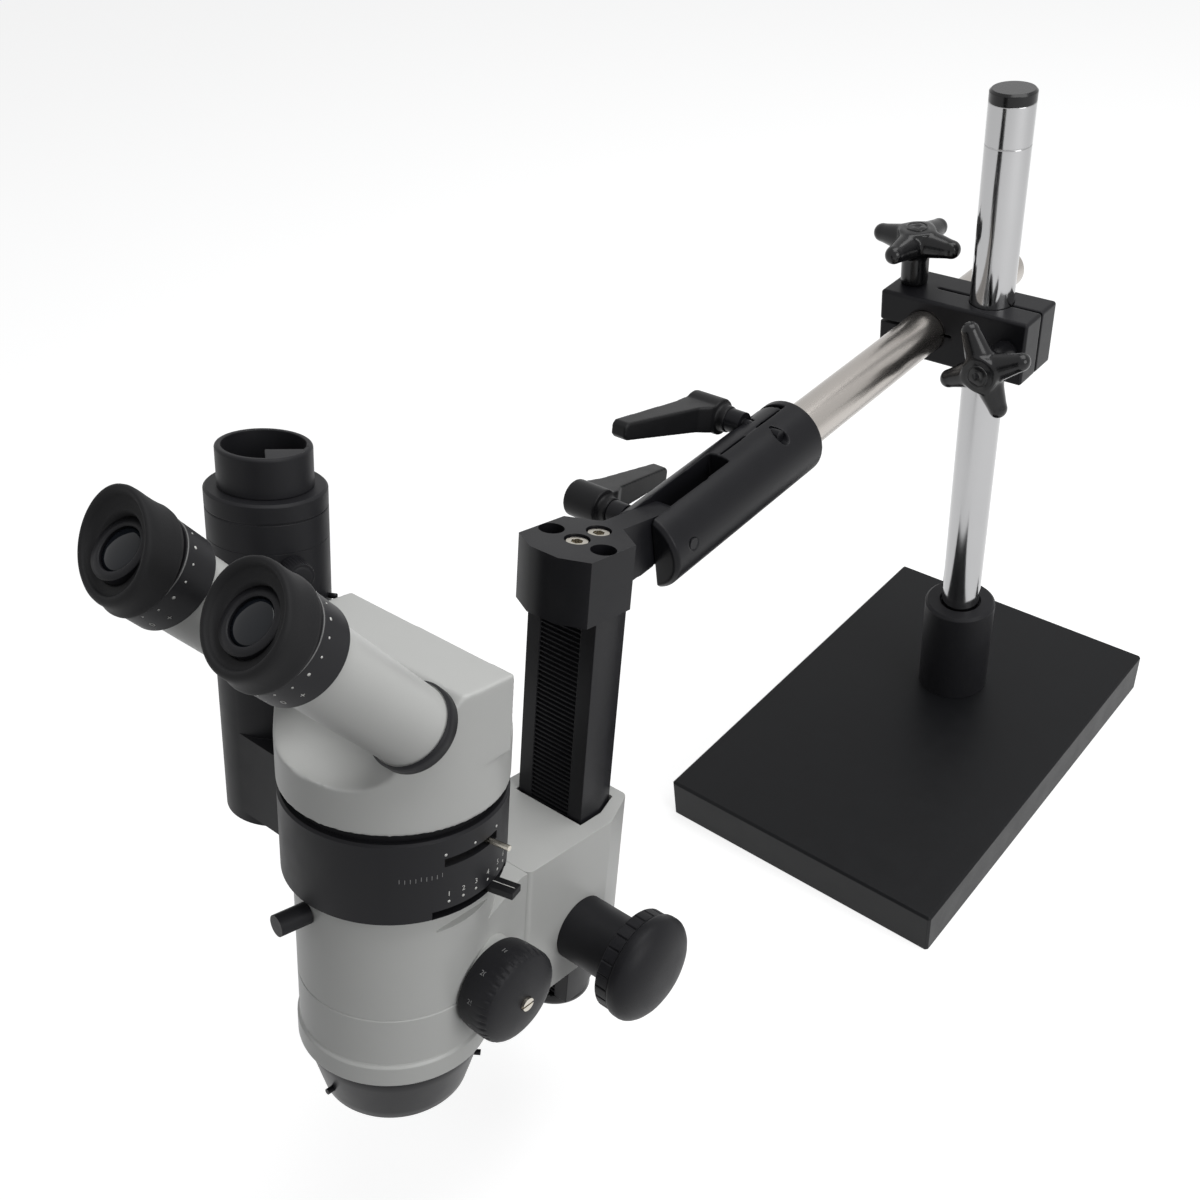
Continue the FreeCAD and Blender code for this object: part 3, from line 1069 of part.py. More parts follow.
def ocular(side, name):
    frame = eye_frame(side)
    tube = turned(f"ocular_turned_{name}", [
        (size.stem_bore, size.collar_root), (size.collar_radius, size.collar_root),
        (size.collar_radius, size.eye_tube_root), (size.eye_tube_radius, size.eye_tube_root),
        (size.eye_tube_radius, size.eye_tube_top), (size.eye_tube_bore, size.eye_tube_top),
        (size.eye_tube_bore, size.eye_tube_root + 3), (size.stem_bore, size.eye_tube_root + 3)])
    middle = -side * size.stem_inset
    half = size.stem_width / 2
    stem = box(f"stem_{name}", (middle - half, -size.stem_depth / 2, size.collar_root - size.stem_length),
               (middle + half, size.stem_depth / 2, size.collar_root + 2))
    bore = rod(f"stem_bore_{name}", size.stem_bore, size.stem_length + 4,
               (0, 0, size.collar_root - size.stem_length - 1))
    node(f"ocular_tube_{name}", cut(f"ocular_tube_{name}", joined(f"tube_and_stem_{name}", tube, stem), bore), frame)
    neck_bottom = size.eye_tube_top + 0.1
    nose_top = size.eyepiece_nose_top
    node(f"eyepiece_{name}", turned(f"eyepiece_{name}", [
        (size.eyepiece_bore, size.eyepiece_bottom), (size.eye_tube_bore - 0.05, size.eyepiece_bottom),
        (size.eye_tube_bore - 0.05, neck_bottom), (size.eyepiece_neck, neck_bottom),
        (size.eyepiece_neck, size.diopter_top + 0.2), (size.eyepiece_flange, size.diopter_top + 0.2),
        (size.eyepiece_flange, size.eyepiece_flange_top), (size.eyepiece_nose, size.eyepiece_flange_top),
        (size.eyepiece_nose, nose_top), (size.eyelens_radius, nose_top), (size.eyelens_radius, nose_top - 3.8),
        (size.eyepiece_bore, nose_top - 6.8)]), frame)
    ring_bore = size.eyepiece_neck + size.running_gap
    node(f"diopter_ring_{name}", turned(f"diopter_ring_{name}", [
        (ring_bore, neck_bottom + 0.1), (size.diopter_radius - 0.5, neck_bottom + 0.1),
        (size.diopter_radius, neck_bottom + 0.6), (size.diopter_radius, size.diopter_top - 0.5),
        (size.diopter_radius - 0.5, size.diopter_top), (ring_bore, size.diopter_top)]), frame)
    seat = size.eyepiece_flange + 0.1
    node(f"eyecup_{name}", turned(f"eyecup_{name}", [
        (seat, size.eyecup_back), (size.eyecup_back_radius, size.eyecup_back),
        (size.eyecup_radius, size.eyecup_top - 8), (size.eyecup_radius, size.eyecup_top - 3),
        (size.eyecup_radius - 0.8, size.eyecup_top - 1), (size.eyecup_rim + 1.4, size.eyecup_top),
        (size.eyecup_rim, size.eyecup_top - 0.5), (size.eyepiece_nose + 1.6, nose_top + 1.2),
        (size.eyepiece_nose + 0.1, nose_top), (size.eyepiece_nose + 0.1, size.eyepiece_flange_top + 0.1),
        (seat, size.eyepiece_flange_top + 0.1)]), frame)


base_plate()
socket_bolts()
column_socket()
column()
cross_clamp()
star_knob("arm_knob", Vector(-size.arm_knob_offset, 0, size.arm_level + size.clamp_height / 2), "+z", 0)
star_knob("column_knob", Vector(size.column_knob_offset, -size.clamp_depth / 2, size.arm_level), "-y", 27)
boom_arm()
boom_sleeve()
sleeve_screw(clamping_lever("sleeve_lever", screw_flat(), size.clamp_screw_back, size.clamp_screw_rise,
                            float(size.sleeve_lever_angle)))
clamping_lever("tilt_lever", size.sleeve_radius, size.pin_back, size.pin_rise, float(size.tilt_lever_angle))
head_bracket()
head_screws()
rack_bar()
focus_rack()
focus_housing()
bearing_sleeves()
focus_drive()
zoom_body()
lower_ring()
objective()
objective_pins()
guide_rods()
scope_bracket()
zoom_drive()
zoom_groups()
photo_ring()
photo_and_iris_levers()
photo_prism()
photo_housing()
tube_lock_knob()
binocular_head()
erecting_prisms()
ocular(1, "right")
ocular(-1, "left")

doc.recompute()
for piece, frame in nodes.values():
    if piece.TypeId in ("Part::Cylinder", "Part::Box"):
        local = piece.Placement
        for axis in "xyz":
            piece.setExpression(f"Placement.Base.{axis}", None)
        frame = frame * local
    piece.Placement = frame
doc.recompute()

failed = [thing.Name for thing in doc.Objects if "Invalid" in thing.State or "Error" in thing.State]
if failed:
    raise RuntimeError(f"these failed: {failed}")
unsound = [label for label, (piece, frame) in nodes.items() if piece.Shape.isNull() or not piece.Shape.isValid()]
if unsound:
    raise RuntimeError(f"these have no valid shape: {unsound}")

os.makedirs("parts", exist_ok=True)
for label, (piece, frame) in nodes.items():
    piece.Shape.exportStep(f"parts/{label}.step")
print(len(nodes), "nodes written")
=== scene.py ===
import math

import bpy
import bmesh
from mathutils import Matrix, Vector


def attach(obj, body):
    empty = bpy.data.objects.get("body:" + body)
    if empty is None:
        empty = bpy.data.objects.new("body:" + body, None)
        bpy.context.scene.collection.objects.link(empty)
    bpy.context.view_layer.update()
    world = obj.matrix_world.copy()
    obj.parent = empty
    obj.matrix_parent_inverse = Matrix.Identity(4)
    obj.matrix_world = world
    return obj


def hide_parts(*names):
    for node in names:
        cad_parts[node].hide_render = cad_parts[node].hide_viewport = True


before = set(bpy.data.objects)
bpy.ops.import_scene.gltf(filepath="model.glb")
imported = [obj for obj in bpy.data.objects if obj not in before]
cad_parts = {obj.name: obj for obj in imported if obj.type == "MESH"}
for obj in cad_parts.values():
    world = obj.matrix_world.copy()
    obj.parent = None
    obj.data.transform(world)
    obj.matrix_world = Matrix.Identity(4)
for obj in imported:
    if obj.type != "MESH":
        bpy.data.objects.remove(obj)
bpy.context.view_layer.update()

# Lengths below are millimetres and angles are degrees, unless a name says otherwise
MM = 0.001

# Places on the stand
COLUMN_BACK = 51.6
ARM_SWIVEL = 0.946
ARM_HEIGHT = 301.3
ARM_ASIDE = 32
TILT_PIN_AHEAD = 272.1
HEAD_TILT = -15
ARM_KNOB_ASIDE = 51.3
ARM_KNOB_BASE = 320.4
COLUMN_KNOB_ASIDE = 20.5
COLUMN_KNOB_AHEAD = 18.75

# Places on the head, from the tilt pin
OPTIC_AHEAD = 169.2
PORT_ASIDE = 76
PORT_AHEAD = 169.5
EYE_ASIDE = 35.2
EYE_AHEAD = 259.9
EYE_HEIGHT = 57.0
EYE_SLOPE = 45
FOCUS_AHEAD = 76.5
FOCUS_DROP = 178.5
ZOOM_AHEAD = 152.5
ZOOM_DROP = 155


def turn(degrees, axis):
    return Matrix.Rotation(math.radians(degrees), 4, axis)


def shift(x, y, z):
    return Matrix.Translation(Vector((x, y, z)) * MM)


# Frames of the column, the tilted head, the optical axis, the photo port and the two eyepieces
column_frame = shift(0, COLUMN_BACK, 0) @ turn(ARM_SWIVEL, "Z")
head_frame = column_frame @ shift(-ARM_ASIDE, -TILT_PIN_AHEAD, ARM_HEIGHT) @ turn(HEAD_TILT, "X")
optic_frame = head_frame @ shift(0, -OPTIC_AHEAD, 0)
port_frame = head_frame @ shift(-PORT_ASIDE, -PORT_AHEAD, 0)
TO_X = turn(90, "Y")
TO_MINUS_X = turn(-90, "Y")


def eye_frame(side):
    return head_frame @ shift(side * EYE_ASIDE, -EYE_AHEAD, EYE_HEIGHT) @ turn(EYE_SLOPE, "X")


# Materials: one recipe with a fine grain, slow colour drift and small bumps
def shaded(name, color, rough, metal=0.0, grain=900.0, bump=0.02, drift=0.12,
           coat=0.0, stretch=None, shine=0.5):
    material = bpy.data.materials.new(name)
    material.use_nodes = True
    tree = material.node_tree
    shader = tree.nodes["Principled BSDF"]
    shader.inputs["Metallic"].default_value = metal
    shader.inputs["Specular IOR Level"].default_value = shine
    shader.inputs["Coat Weight"].default_value = coat
    shader.inputs["Coat Roughness"].default_value = 0.12
    place = tree.nodes.new("ShaderNodeTexCoord")
    mapping = tree.nodes.new("ShaderNodeMapping")
    if stretch:
        mapping.inputs["Scale"].default_value = stretch
    tree.links.new(place.outputs["Object"], mapping.inputs["Vector"])
    slow = tree.nodes.new("ShaderNodeTexNoise")
    slow.inputs["Scale"].default_value = grain / 25
    slow.inputs["Detail"].default_value = 3
    tree.links.new(mapping.outputs["Vector"], slow.inputs["Vector"])
    tint = tree.nodes.new("ShaderNodeMapRange")
    tint.inputs["To Min"].default_value = 1 - drift
    tint.inputs["To Max"].default_value = 1 + drift
    tree.links.new(slow.outputs["Fac"], tint.inputs["Value"])
    mix = tree.nodes.new("ShaderNodeVectorMath")
    mix.operation = "SCALE"
    mix.inputs[0].default_value = color
    tree.links.new(tint.outputs["Result"], mix.inputs["Scale"])
    tree.links.new(mix.outputs["Vector"], shader.inputs["Base Color"])
    wear = tree.nodes.new("ShaderNodeMapRange")
    wear.inputs["To Min"].default_value = rough * 0.85
    wear.inputs["To Max"].default_value = min(1.0, rough * 1.15)
    tree.links.new(slow.outputs["Fac"], wear.inputs["Value"])
    tree.links.new(wear.outputs["Result"], shader.inputs["Roughness"])
    fine = tree.nodes.new("ShaderNodeTexNoise")
    fine.inputs["Scale"].default_value = grain
    fine.inputs["Detail"].default_value = 2
    tree.links.new(mapping.outputs["Vector"], fine.inputs["Vector"])
    relief = tree.nodes.new("ShaderNodeBump")
    relief.inputs["Strength"].default_value = bump
    relief.inputs["Distance"].default_value = 0.0004
    tree.links.new(fine.outputs["Fac"], relief.inputs["Height"])
    tree.links.new(relief.outputs["Normal"], shader.inputs["Normal"])
    return material


# Shine of the matt black surfaces
DULL = 0.18

paint_black = shaded("paint_black", (0.0075, 0.0078, 0.009), 0.42, bump=0.10, grain=1600, shine=DULL)
anodised = shaded("anodised", (0.010, 0.010, 0.012), 0.36, grain=2400, bump=0.05, shine=DULL)
anodised_soft = shaded("anodised_soft", (0.014, 0.014, 0.016), 0.48, grain=2400, bump=0.05, shine=DULL)
chrome = shaded("chrome", (0.44, 0.44, 0.445), 0.13, 1.0, grain=500, bump=0.0, drift=0.05)
brushed = shaded("brushed", (0.50, 0.47, 0.44), 0.27, 1.0, grain=1500, bump=0.05, drift=0.10,
                 stretch=(1, 0.02, 1))
gloss_black = shaded("gloss_black", (0.006, 0.006, 0.007), 0.24, grain=300, bump=0.0, coat=0.16, shine=0.3)
plastic_black = shaded("plastic_black", (0.012, 0.012, 0.014), 0.46, grain=2600, bump=0.22, shine=DULL)
lever_black = shaded("lever_black", (0.010, 0.010, 0.011), 0.38, grain=2600, bump=0.12, shine=DULL)
white_paint = shaded("white_paint", (0.57, 0.575, 0.56), 0.42, grain=1500, bump=0.05, drift=0.03)
nickel = shaded("nickel", (0.55, 0.52, 0.46), 0.24, 1.0, grain=900, bump=0.03)
steel_black = shaded("steel_black", (0.012, 0.012, 0.014), 0.33, 0.3, grain=1500, bump=0.04, shine=DULL)
rubber = shaded("rubber", (0.013, 0.013, 0.014), 0.62, grain=1800, bump=0.12, shine=DULL)
glass_dark = shaded("glass_dark", (0.008, 0.010, 0.014), 0.06, grain=300, bump=0.0, coat=0.1, shine=0.22)
ink_white = shaded("ink_white", (0.75, 0.75, 0.72), 0.5, grain=1500, bump=0.02, drift=0.05)
ink_grey = shaded("ink_grey", (0.22, 0.22, 0.22), 0.5, grain=1500, bump=0.02, drift=0.05)
pale_rim = shaded("pale_rim", (0.14, 0.14, 0.14), 0.35, grain=1500, bump=0.02, drift=0.05)
# Near-black for painted shade: it darkens the gap on top of the photo ring, where shade falls
painted_shade_black = shaded("painted_shade_black", (0.004, 0.004, 0.005), 0.7, grain=1500, bump=0.02, shine=DULL)

looks = {
    "base_plate": paint_black, "socket_bolts": steel_black, "column_socket": anodised_soft,
    "column": chrome, "column_cap": gloss_black, "cross_clamp": anodised,
    "arm_knob": gloss_black, "column_knob": gloss_black, "boom_arm": brushed,
    "arm_end_plug": plastic_black, "boom_sleeve": anodised, "tilt_pin": anodised,
    "sleeve_lever": lever_black, "sleeve_screw": steel_black, "tilt_lever": lever_black,
    "head_bracket": anodised, "head_screws": nickel, "rack_bar": anodised,
    "focus_rack": steel_black, "bar_end_disc": gloss_black, "focus_housing": white_paint,
    "housing_cover": white_paint, "bearing_sleeves": anodised_soft, "focus_shaft": steel_black,
    "focus_knob_right": plastic_black, "focus_knob_left": plastic_black, "zoom_body": white_paint,
    "lower_ring": white_paint, "objective_ring": anodised, "objective_lens": glass_dark,
    "objective_pins": steel_black, "guide_rods": nickel, "scope_bracket": white_paint,
    "zoom_shaft": nickel, "zoom_knob_right": plastic_black, "zoom_knob_left": plastic_black,
    "zoom_knob_screws": nickel, "upper_lens_carriage": anodised, "upper_zoom_lenses": glass_dark,
    "lower_lens_carriage": anodised, "lower_zoom_lenses": glass_dark, "photo_ring": anodised_soft,
    "photo_lever": nickel, "iris_lever": lever_black, "photo_prism": glass_dark,
    "photo_housing": anodised_soft, "phototube_mount": anodised_soft, "phototube_top": anodised_soft,
    "port_thumbscrew": plastic_black, "tube_lock_knob": plastic_black, "binocular_head": white_paint,
    "erecting_prisms": glass_dark,
}
for side in ("right", "left"):
    looks[f"ocular_tube_{side}"] = white_paint
    looks[f"eyepiece_{side}"] = anodised
    looks[f"diopter_ring_{side}"] = anodised_soft
    looks[f"eyecup_{side}"] = rubber

# Edge rounding of the carried-over pieces, and the least bend that counts as an edge
rounding = {
    "base_plate": 0.9, "head_bracket": 0.5, "rack_bar": 0.4, "focus_housing": 1.4,
    "housing_cover": 1.0, "photo_housing": 1.6, "scope_bracket": 2.0, "zoom_body": 0.7,
    "lower_ring": 0.5, "objective_ring": 0.5, "iris_lever": 0.5, "photo_ring": 0.4,
    "column_socket": 0.5, "phototube_mount": 0.4, "phototube_top": 0.5, "bar_end_disc": 0.8,
}
PLAIN_ROUNDING = 0.2
SHARP_ANGLE = 32
FLAT_ANGLE = 0.05

# Voxel size and rounds of smoothing of the cast and moulded pieces
castings = {
    "binocular_head": (0.7, 16), "sleeve_lever": (0.5, 16), "tilt_lever": (0.5, 16),
    "boom_sleeve": (0.5, 5), "cross_clamp": (0.5, 5),
}


def clear_normals(obj):
    with bpy.context.temp_override(object=obj, active_object=obj, selected_objects=[obj]):
        bpy.ops.mesh.customdata_custom_splitnormals_clear()


def smoothed(obj, width=PLAIN_ROUNDING):
    """Welds the facets, rounds the sharp edges a little and shades the rest smooth."""
    if obj.data.has_custom_normals:
        clear_normals(obj)
    for polygon in obj.data.polygons:
        polygon.use_smooth = True
    weld = obj.modifiers.new("weld", "WELD")
    weld.merge_threshold = 2e-6
    flat = obj.modifiers.new("flat", "DECIMATE")
    flat.decimate_type = "DISSOLVE"
    flat.angle_limit = math.radians(FLAT_ANGLE)
    bevel = obj.modifiers.new("bevel", "BEVEL")
    bevel.width = width * MM
    bevel.segments = 3
    bevel.limit_method = "ANGLE"
    bevel.angle_limit = math.radians(SHARP_ANGLE)
    bevel.harden_normals = True


def melted(obj, voxel, factor, rounds):
    """Makes one skin of an object's forms and smooths its edges softly."""
    melt = obj.modifiers.new("melt", "REMESH")
    melt.mode = "VOXEL"
    melt.voxel_size = voxel * MM
    melt.use_smooth_shade = True
    soft = obj.modifiers.new("soft", "SMOOTH")
    soft.factor = factor
    soft.iterations = rounds


for name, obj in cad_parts.items():
    obj.data.materials.clear()
    obj.data.materials.append(looks[name])
    if name in castings:
        voxel, rounds = castings[name]
        if obj.data.has_custom_normals:
            clear_normals(obj)
        melted(obj, voxel, 0.5, rounds)
    else:
        smoothed(obj, rounding.get(name, PLAIN_ROUNDING))


# Pieces made here
def new_piece(name, vertices, faces, material, body, place, smooth=True):
    mesh = bpy.data.meshes.new(name)
    mesh.from_pydata(vertices, [], faces)
    mesh.validate()
    mesh.materials.append(material)
    obj = bpy.data.objects.new(name, mesh)
    bpy.context.scene.collection.objects.link(obj)
    mesh.transform(place)
    for polygon in mesh.polygons:
        polygon.use_smooth = smooth
    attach(obj, body)
    return obj


def lathe(name, profile, material, body, place, steps=96, wave=None):
    """Turns (radius, height) corners about local Z. wave(height, angle) adds to the radius."""
    vertices = []
    faces = []
    for radius, height in profile:
        for step in range(steps):
            angle = 2 * math.pi * step / steps
            grown = radius + (wave(height, angle) if wave else 0)
            vertices.append((grown * MM * math.cos(angle), grown * MM * math.sin(angle), height * MM))
    for row in range(len(profile) - 1):
        low = row * steps
        high = low + steps
        for step in range(steps):
            other = (step + 1) % steps
            faces.append((low + step, low + other, high + other, high + step))
    obj = new_piece(name, vertices, faces, material, body, place)
    cleaned = bmesh.new()
    cleaned.from_mesh(obj.data)
    bmesh.ops.remove_doubles(cleaned, verts=cleaned.verts, dist=1e-7)
    bmesh.ops.recalc_face_normals(cleaned, faces=cleaned.faces)
    cleaned.to_mesh(obj.data)
    cleaned.free()
    return obj


def block(name, low, high, material, body, place):
    corners = []
    for x in (low[0], high[0]):
        for y in (low[1], high[1]):
            for z in (low[2], high[2]):
                corners.append((x * MM, y * MM, z * MM))
    faces = [(0, 1, 3, 2), (4, 6, 7, 5), (0, 4, 5, 1), (2, 3, 7, 6), (0, 2, 6, 4), (1, 5, 7, 3)]
    return new_piece(name, corners, faces, material, body, place, False)


def disc_dot(name, radius, height, material, body, place):
    return lathe(name, [(0, height), (radius, height), (radius, -0.3), (0, -0.3)], material, body, place, 20)


def around(radius, clock, level):
    """A spot on a cylinder about local Z: local X runs out, clock is read from the front to the right."""
    return turn(clock - 90, "Z") @ shift(radius, 0, level)


INK_RISE = 0.04
LETTER_SCALE = 1.35


def lettering(name, text, height, material, body, place, radius, clock, level, upside=0.0):
    """Raised characters bent round a cylinder about local Z."""
    curve = bpy.data.curves.new(name, "FONT")
    curve.body = text
    curve.size = height * MM * LETTER_SCALE
    curve.align_x = "CENTER"
    curve.align_y = "CENTER"
    curve.resolution_u = 3
    holder = bpy.data.objects.new(name + "_source", curve)
    bpy.context.scene.collection.objects.link(holder)
    bpy.context.view_layer.update()
    seen = holder.evaluated_get(bpy.context.evaluated_depsgraph_get())
    source = bpy.data.meshes.new_from_object(seen)
    bpy.data.objects.remove(holder)
    shaped = bmesh.new()
    shaped.from_mesh(source)
    bmesh.ops.triangulate(shaped, faces=shaped.faces)
    spin = turn(upside, "Z")
    reach = radius * MM + INK_RISE * MM
    for vertex in shaped.verts:
        spot = spin @ vertex.co
        angle = math.radians(clock - 90) + spot.x / (radius * MM)
        vertex.co = (reach * math.cos(angle), reach * math.sin(angle), level * MM + spot.y)
    shaped.to_mesh(source)
    shaped.free()
    source.materials.append(material)
    obj = bpy.data.objects.new(name, source)
    bpy.context.scene.collection.objects.link(obj)
    source.transform(place)
    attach(obj, body)
    return obj


# Star knobs: a neck, a hub and four tapered lobes, melted into one form
STAR_LOBES = 4
NECK_RADIUS = 8.2
NECK_MIDDLE = 11.1
NECK_LENGTH = 22
HUB_RADIUS = 11.0
HUB_MIDDLE = 27.0
HUB_DEPTH = 13.0
LOBE_LEVEL = 25.4
LOBE_MIDDLE = 13
LOBE_LENGTH = 22
LOBE_ROOT = 9.4
LOBE_TIP = 5.2
LOBE_END = 23.8
LOBE_BALL = 5.5
KNOB_TOP = 33.6


def star_knob(name, node, body, place, first):
    parts = []

    def add(maker, at, **sizes):
        maker(**sizes)
        part = bpy.context.object
        part.data.transform(at)
        part.matrix_world = Matrix.Identity(4)
        parts.append(part)

    cylinder = bpy.ops.mesh.primitive_cylinder_add
    cone = bpy.ops.mesh.primitive_cone_add
    ball = bpy.ops.mesh.primitive_uv_sphere_add
    add(cylinder, shift(0, 0, NECK_MIDDLE), radius=NECK_RADIUS * MM, depth=NECK_LENGTH * MM, vertices=64)
    add(cylinder, shift(0, 0, HUB_MIDDLE), radius=HUB_RADIUS * MM, depth=HUB_DEPTH * MM, vertices=64)
    for index in range(STAR_LOBES):
        out = turn(first + 360 / STAR_LOBES * index, "Z")
        add(cone, out @ shift(LOBE_MIDDLE, 0, LOBE_LEVEL) @ TO_X,
            radius1=LOBE_ROOT * MM, radius2=LOBE_TIP * MM, depth=LOBE_LENGTH * MM, vertices=48)
        add(ball, out @ shift(LOBE_END, 0, LOBE_LEVEL), radius=LOBE_BALL * MM)
    joined = bmesh.new()
    for part in parts:
        joined.from_mesh(part.data)
    mesh = bpy.data.meshes.new(name)
    joined.to_mesh(mesh)
    joined.free()
    for part in parts:
        bpy.data.objects.remove(part)
    mesh.transform(place)
    mesh.materials.append(gloss_black)
    obj = bpy.data.objects.new(name, mesh)
    bpy.context.scene.collection.objects.link(obj)
    melted(obj, 0.5, 0.6, 44)
    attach(obj, body)
    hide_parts(node)


arm_knob_place = column_frame @ shift(-ARM_KNOB_ASIDE, 0, ARM_KNOB_BASE)
column_knob_place = column_frame @ shift(COLUMN_KNOB_ASIDE, -COLUMN_KNOB_AHEAD, ARM_HEIGHT) @ turn(90, "X")
star_knob("arm_star_knob", "arm_knob", "arm_knob", arm_knob_place, -3)
star_knob("column_star_knob", "column_knob", "column_knob", column_knob_place, 27)
for name, knob_place in (("arm_knob", arm_knob_place), ("column_knob", column_knob_place)):
    place = knob_place @ shift(0, 0, KNOB_TOP)
    lathe(f"{name}_cap_edge", [(6.4, -2), (6.4, 0.5), (6.0, 0.8), (5.5, 0.3), (5.3, -1.2)],
          gloss_black, name, place, 48)
    lathe(f"{name}_stud_end", [(0, 0.3), (3.2, 0.3), (3.5, 0), (3.5, -3)], steel_black, name, place, 32)

# Focus knobs: a ribbed rim behind a domed cap
FOCUS_GROOVES = 24
focus_profile = [
    (16, 61.6), (24.6, 61.6), (25.8, 62.2), (26.2, 62.8), (26.2, 65.6), (26.2, 68.6), (26.2, 69.2),
    (25.8, 69.4), (25.8, 69.7), (26.7, 69.9), (27.1, 70.4), (27.3, 71.6), (27.3, 74.0), (27.0, 75.4),
    (26.2, 76.8), (24.8, 78.4), (22.6, 80.0), (19.4, 81.5), (15.0, 82.8), (10.0, 83.6), (5.0, 83.9),
    (0, 84.0),
]


def rib_wave(height, angle):
    share = (angle * FOCUS_GROOVES / (2 * math.pi)) % 1.0
    in_groove = share < 0.09 or share > 0.91
    return -0.8 if in_groove and 62.5 < height < 69.0 else 0.0


for side, direction in (("right", TO_X), ("left", TO_MINUS_X)):
    place = head_frame @ shift(0, -FOCUS_AHEAD, -FOCUS_DROP) @ direction
    knob = lathe(f"focus_grip_{side}", focus_profile, plastic_black, "focus_drive", place, 240, rib_wave)
    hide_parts(f"focus_knob_{side}")
    smoothed(knob)

# Zoom knobs: grooves round the front edge and numbers round the shoulder
ZOOM_GROOVES = 36
zoom_profile = [
    (4, 43), (19.6, 43), (20.9, 43.6), (21.4, 45), (21.8, 48), (22.0, 52), (22.0, 56), (21.9, 58),
    (21.5, 59.4), (20.6, 60.6), (19.2, 61.4), (17.0, 62.2), (12, 63.3), (7, 63.9), (3.3, 64.1), (3.3, 61),
]
zoom_scale = ("6.5", "10", "16", "20", "25", "32", "40")


def grip_wave(height, angle):
    share = (angle * ZOOM_GROOVES / (2 * math.pi)) % 1.0
    return -0.55 if share < 0.3 and 56.6 < height < 60 else 0.0


for side, direction, upside in (("right", TO_X, 90), ("left", TO_MINUS_X, -90)):
    place = head_frame @ shift(0, -ZOOM_AHEAD, -ZOOM_DROP) @ direction
    knob = lathe(f"zoom_grip_{side}", zoom_profile, plastic_black, "zoom_drive", place, 216, grip_wave)
    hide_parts(f"zoom_knob_{side}")
    smoothed(knob)
    for index, text in enumerate(zoom_scale):
        lettering(f"zoom_number_{side}_{index}", text, 2.4, ink_grey, "zoom_drive", place,
                  21.95, 200 + 36 * index, 51.0, upside=upside)

# Photo ring: numbers and dots of the iris scale, dots and ticks at the light lever, and a near-black band of
# painted shade in the gap on top
RING_RADIUS = 47.3
iris_clocks = (74.6, 82.8, 91.0, 100.0, 109.6, 116.9)
light_clocks = (72.5, 89.5, 106.5)
for number, clock in enumerate(iris_clocks, start=1):
    lettering(f"iris_number_{number}", str(number), 2.6, ink_white, "carriage", optic_frame,
              RING_RADIUS, clock, -88.8)
    disc_dot(f"iris_dot_{number}", 0.62, 0.06, ink_white, "carriage",
             optic_frame @ around(RING_RADIUS, clock, -92.6) @ TO_X)
for index, clock in enumerate(light_clocks):
    disc_dot(f"light_dot_{index}", 0.6, 0.06, ink_white, "carriage",
             optic_frame @ around(RING_RADIUS, clock, -69.0) @ TO_X)
for index in range(9):
    tick_level = -78.6 + (0.4 if index % 4 == 0 else 0)
    block(f"light_tick_{index}", (-0.1, -0.14, -1.0), (0.06, 0.14, 1.0), ink_grey, "carriage",
          optic_frame @ around(RING_RADIUS, 50 + 2.6 * index, tick_level))
block("iris_line", (-6.5, -0.16, -0.02), (6.0, 0.16, 0.07), ink_white, "iris_lever",
      optic_frame @ around(51.5, 105.4, -96.3))
# A thin near-black band inside the ring's gap: painted shade, not a part
lathe("ring_gap_painted_shade", [(44.2, -61.2), (44.2, -56.6)], painted_shade_black, "carriage", optic_frame)

# Diopter rings, eyecups and eyelenses. The soft cups sit aslant, higher at the back than at the front.
DIOPTER_RADIUS = 19.05
CUP_RADIUS = 19.4
CUP_FOOT = -12.6
LEAN_FROM = -13.0
LEAN_SPAN = 14.5
FOOT_LEAN = 0.35
cup_profile = [
    (17.0, -10.0), (17.0, -12.0), (19.4, -12.3), (20.1, -11.8), (20.2, -10.6), (19.8, -9.0), (19.5, -6.5),
    (19.4, -4.0), (19.4, -1.6), (19.2, 0.0), (18.7, 1.0), (17.9, 1.45), (17.1, 1.3), (16.5, 0.7),
    (16.1, -0.4), (15.6, -1.4), (14.4, -2.0), (12.9, -2.2), (12.1, -2.3), (12.1, -10.0), (17.0, -10.0),
]


def lean_cup(obj, place, rise):
    """Leans a soft cup along local Y: a little at its foot, and the whole rise at its rim."""
    back = place.inverted()
    for vertex in obj.data.vertices:
        spot = back @ vertex.co
        share = spot.y / (CUP_RADIUS * MM)
        height = min(1.0, max(0.0, (spot.z / MM - LEAN_FROM) / LEAN_SPAN))
        if spot.z > CUP_FOOT * MM:
            spot.z += rise * MM * share * (FOOT_LEAN + (1 - FOOT_LEAN) * height)
        vertex.co = place @ spot


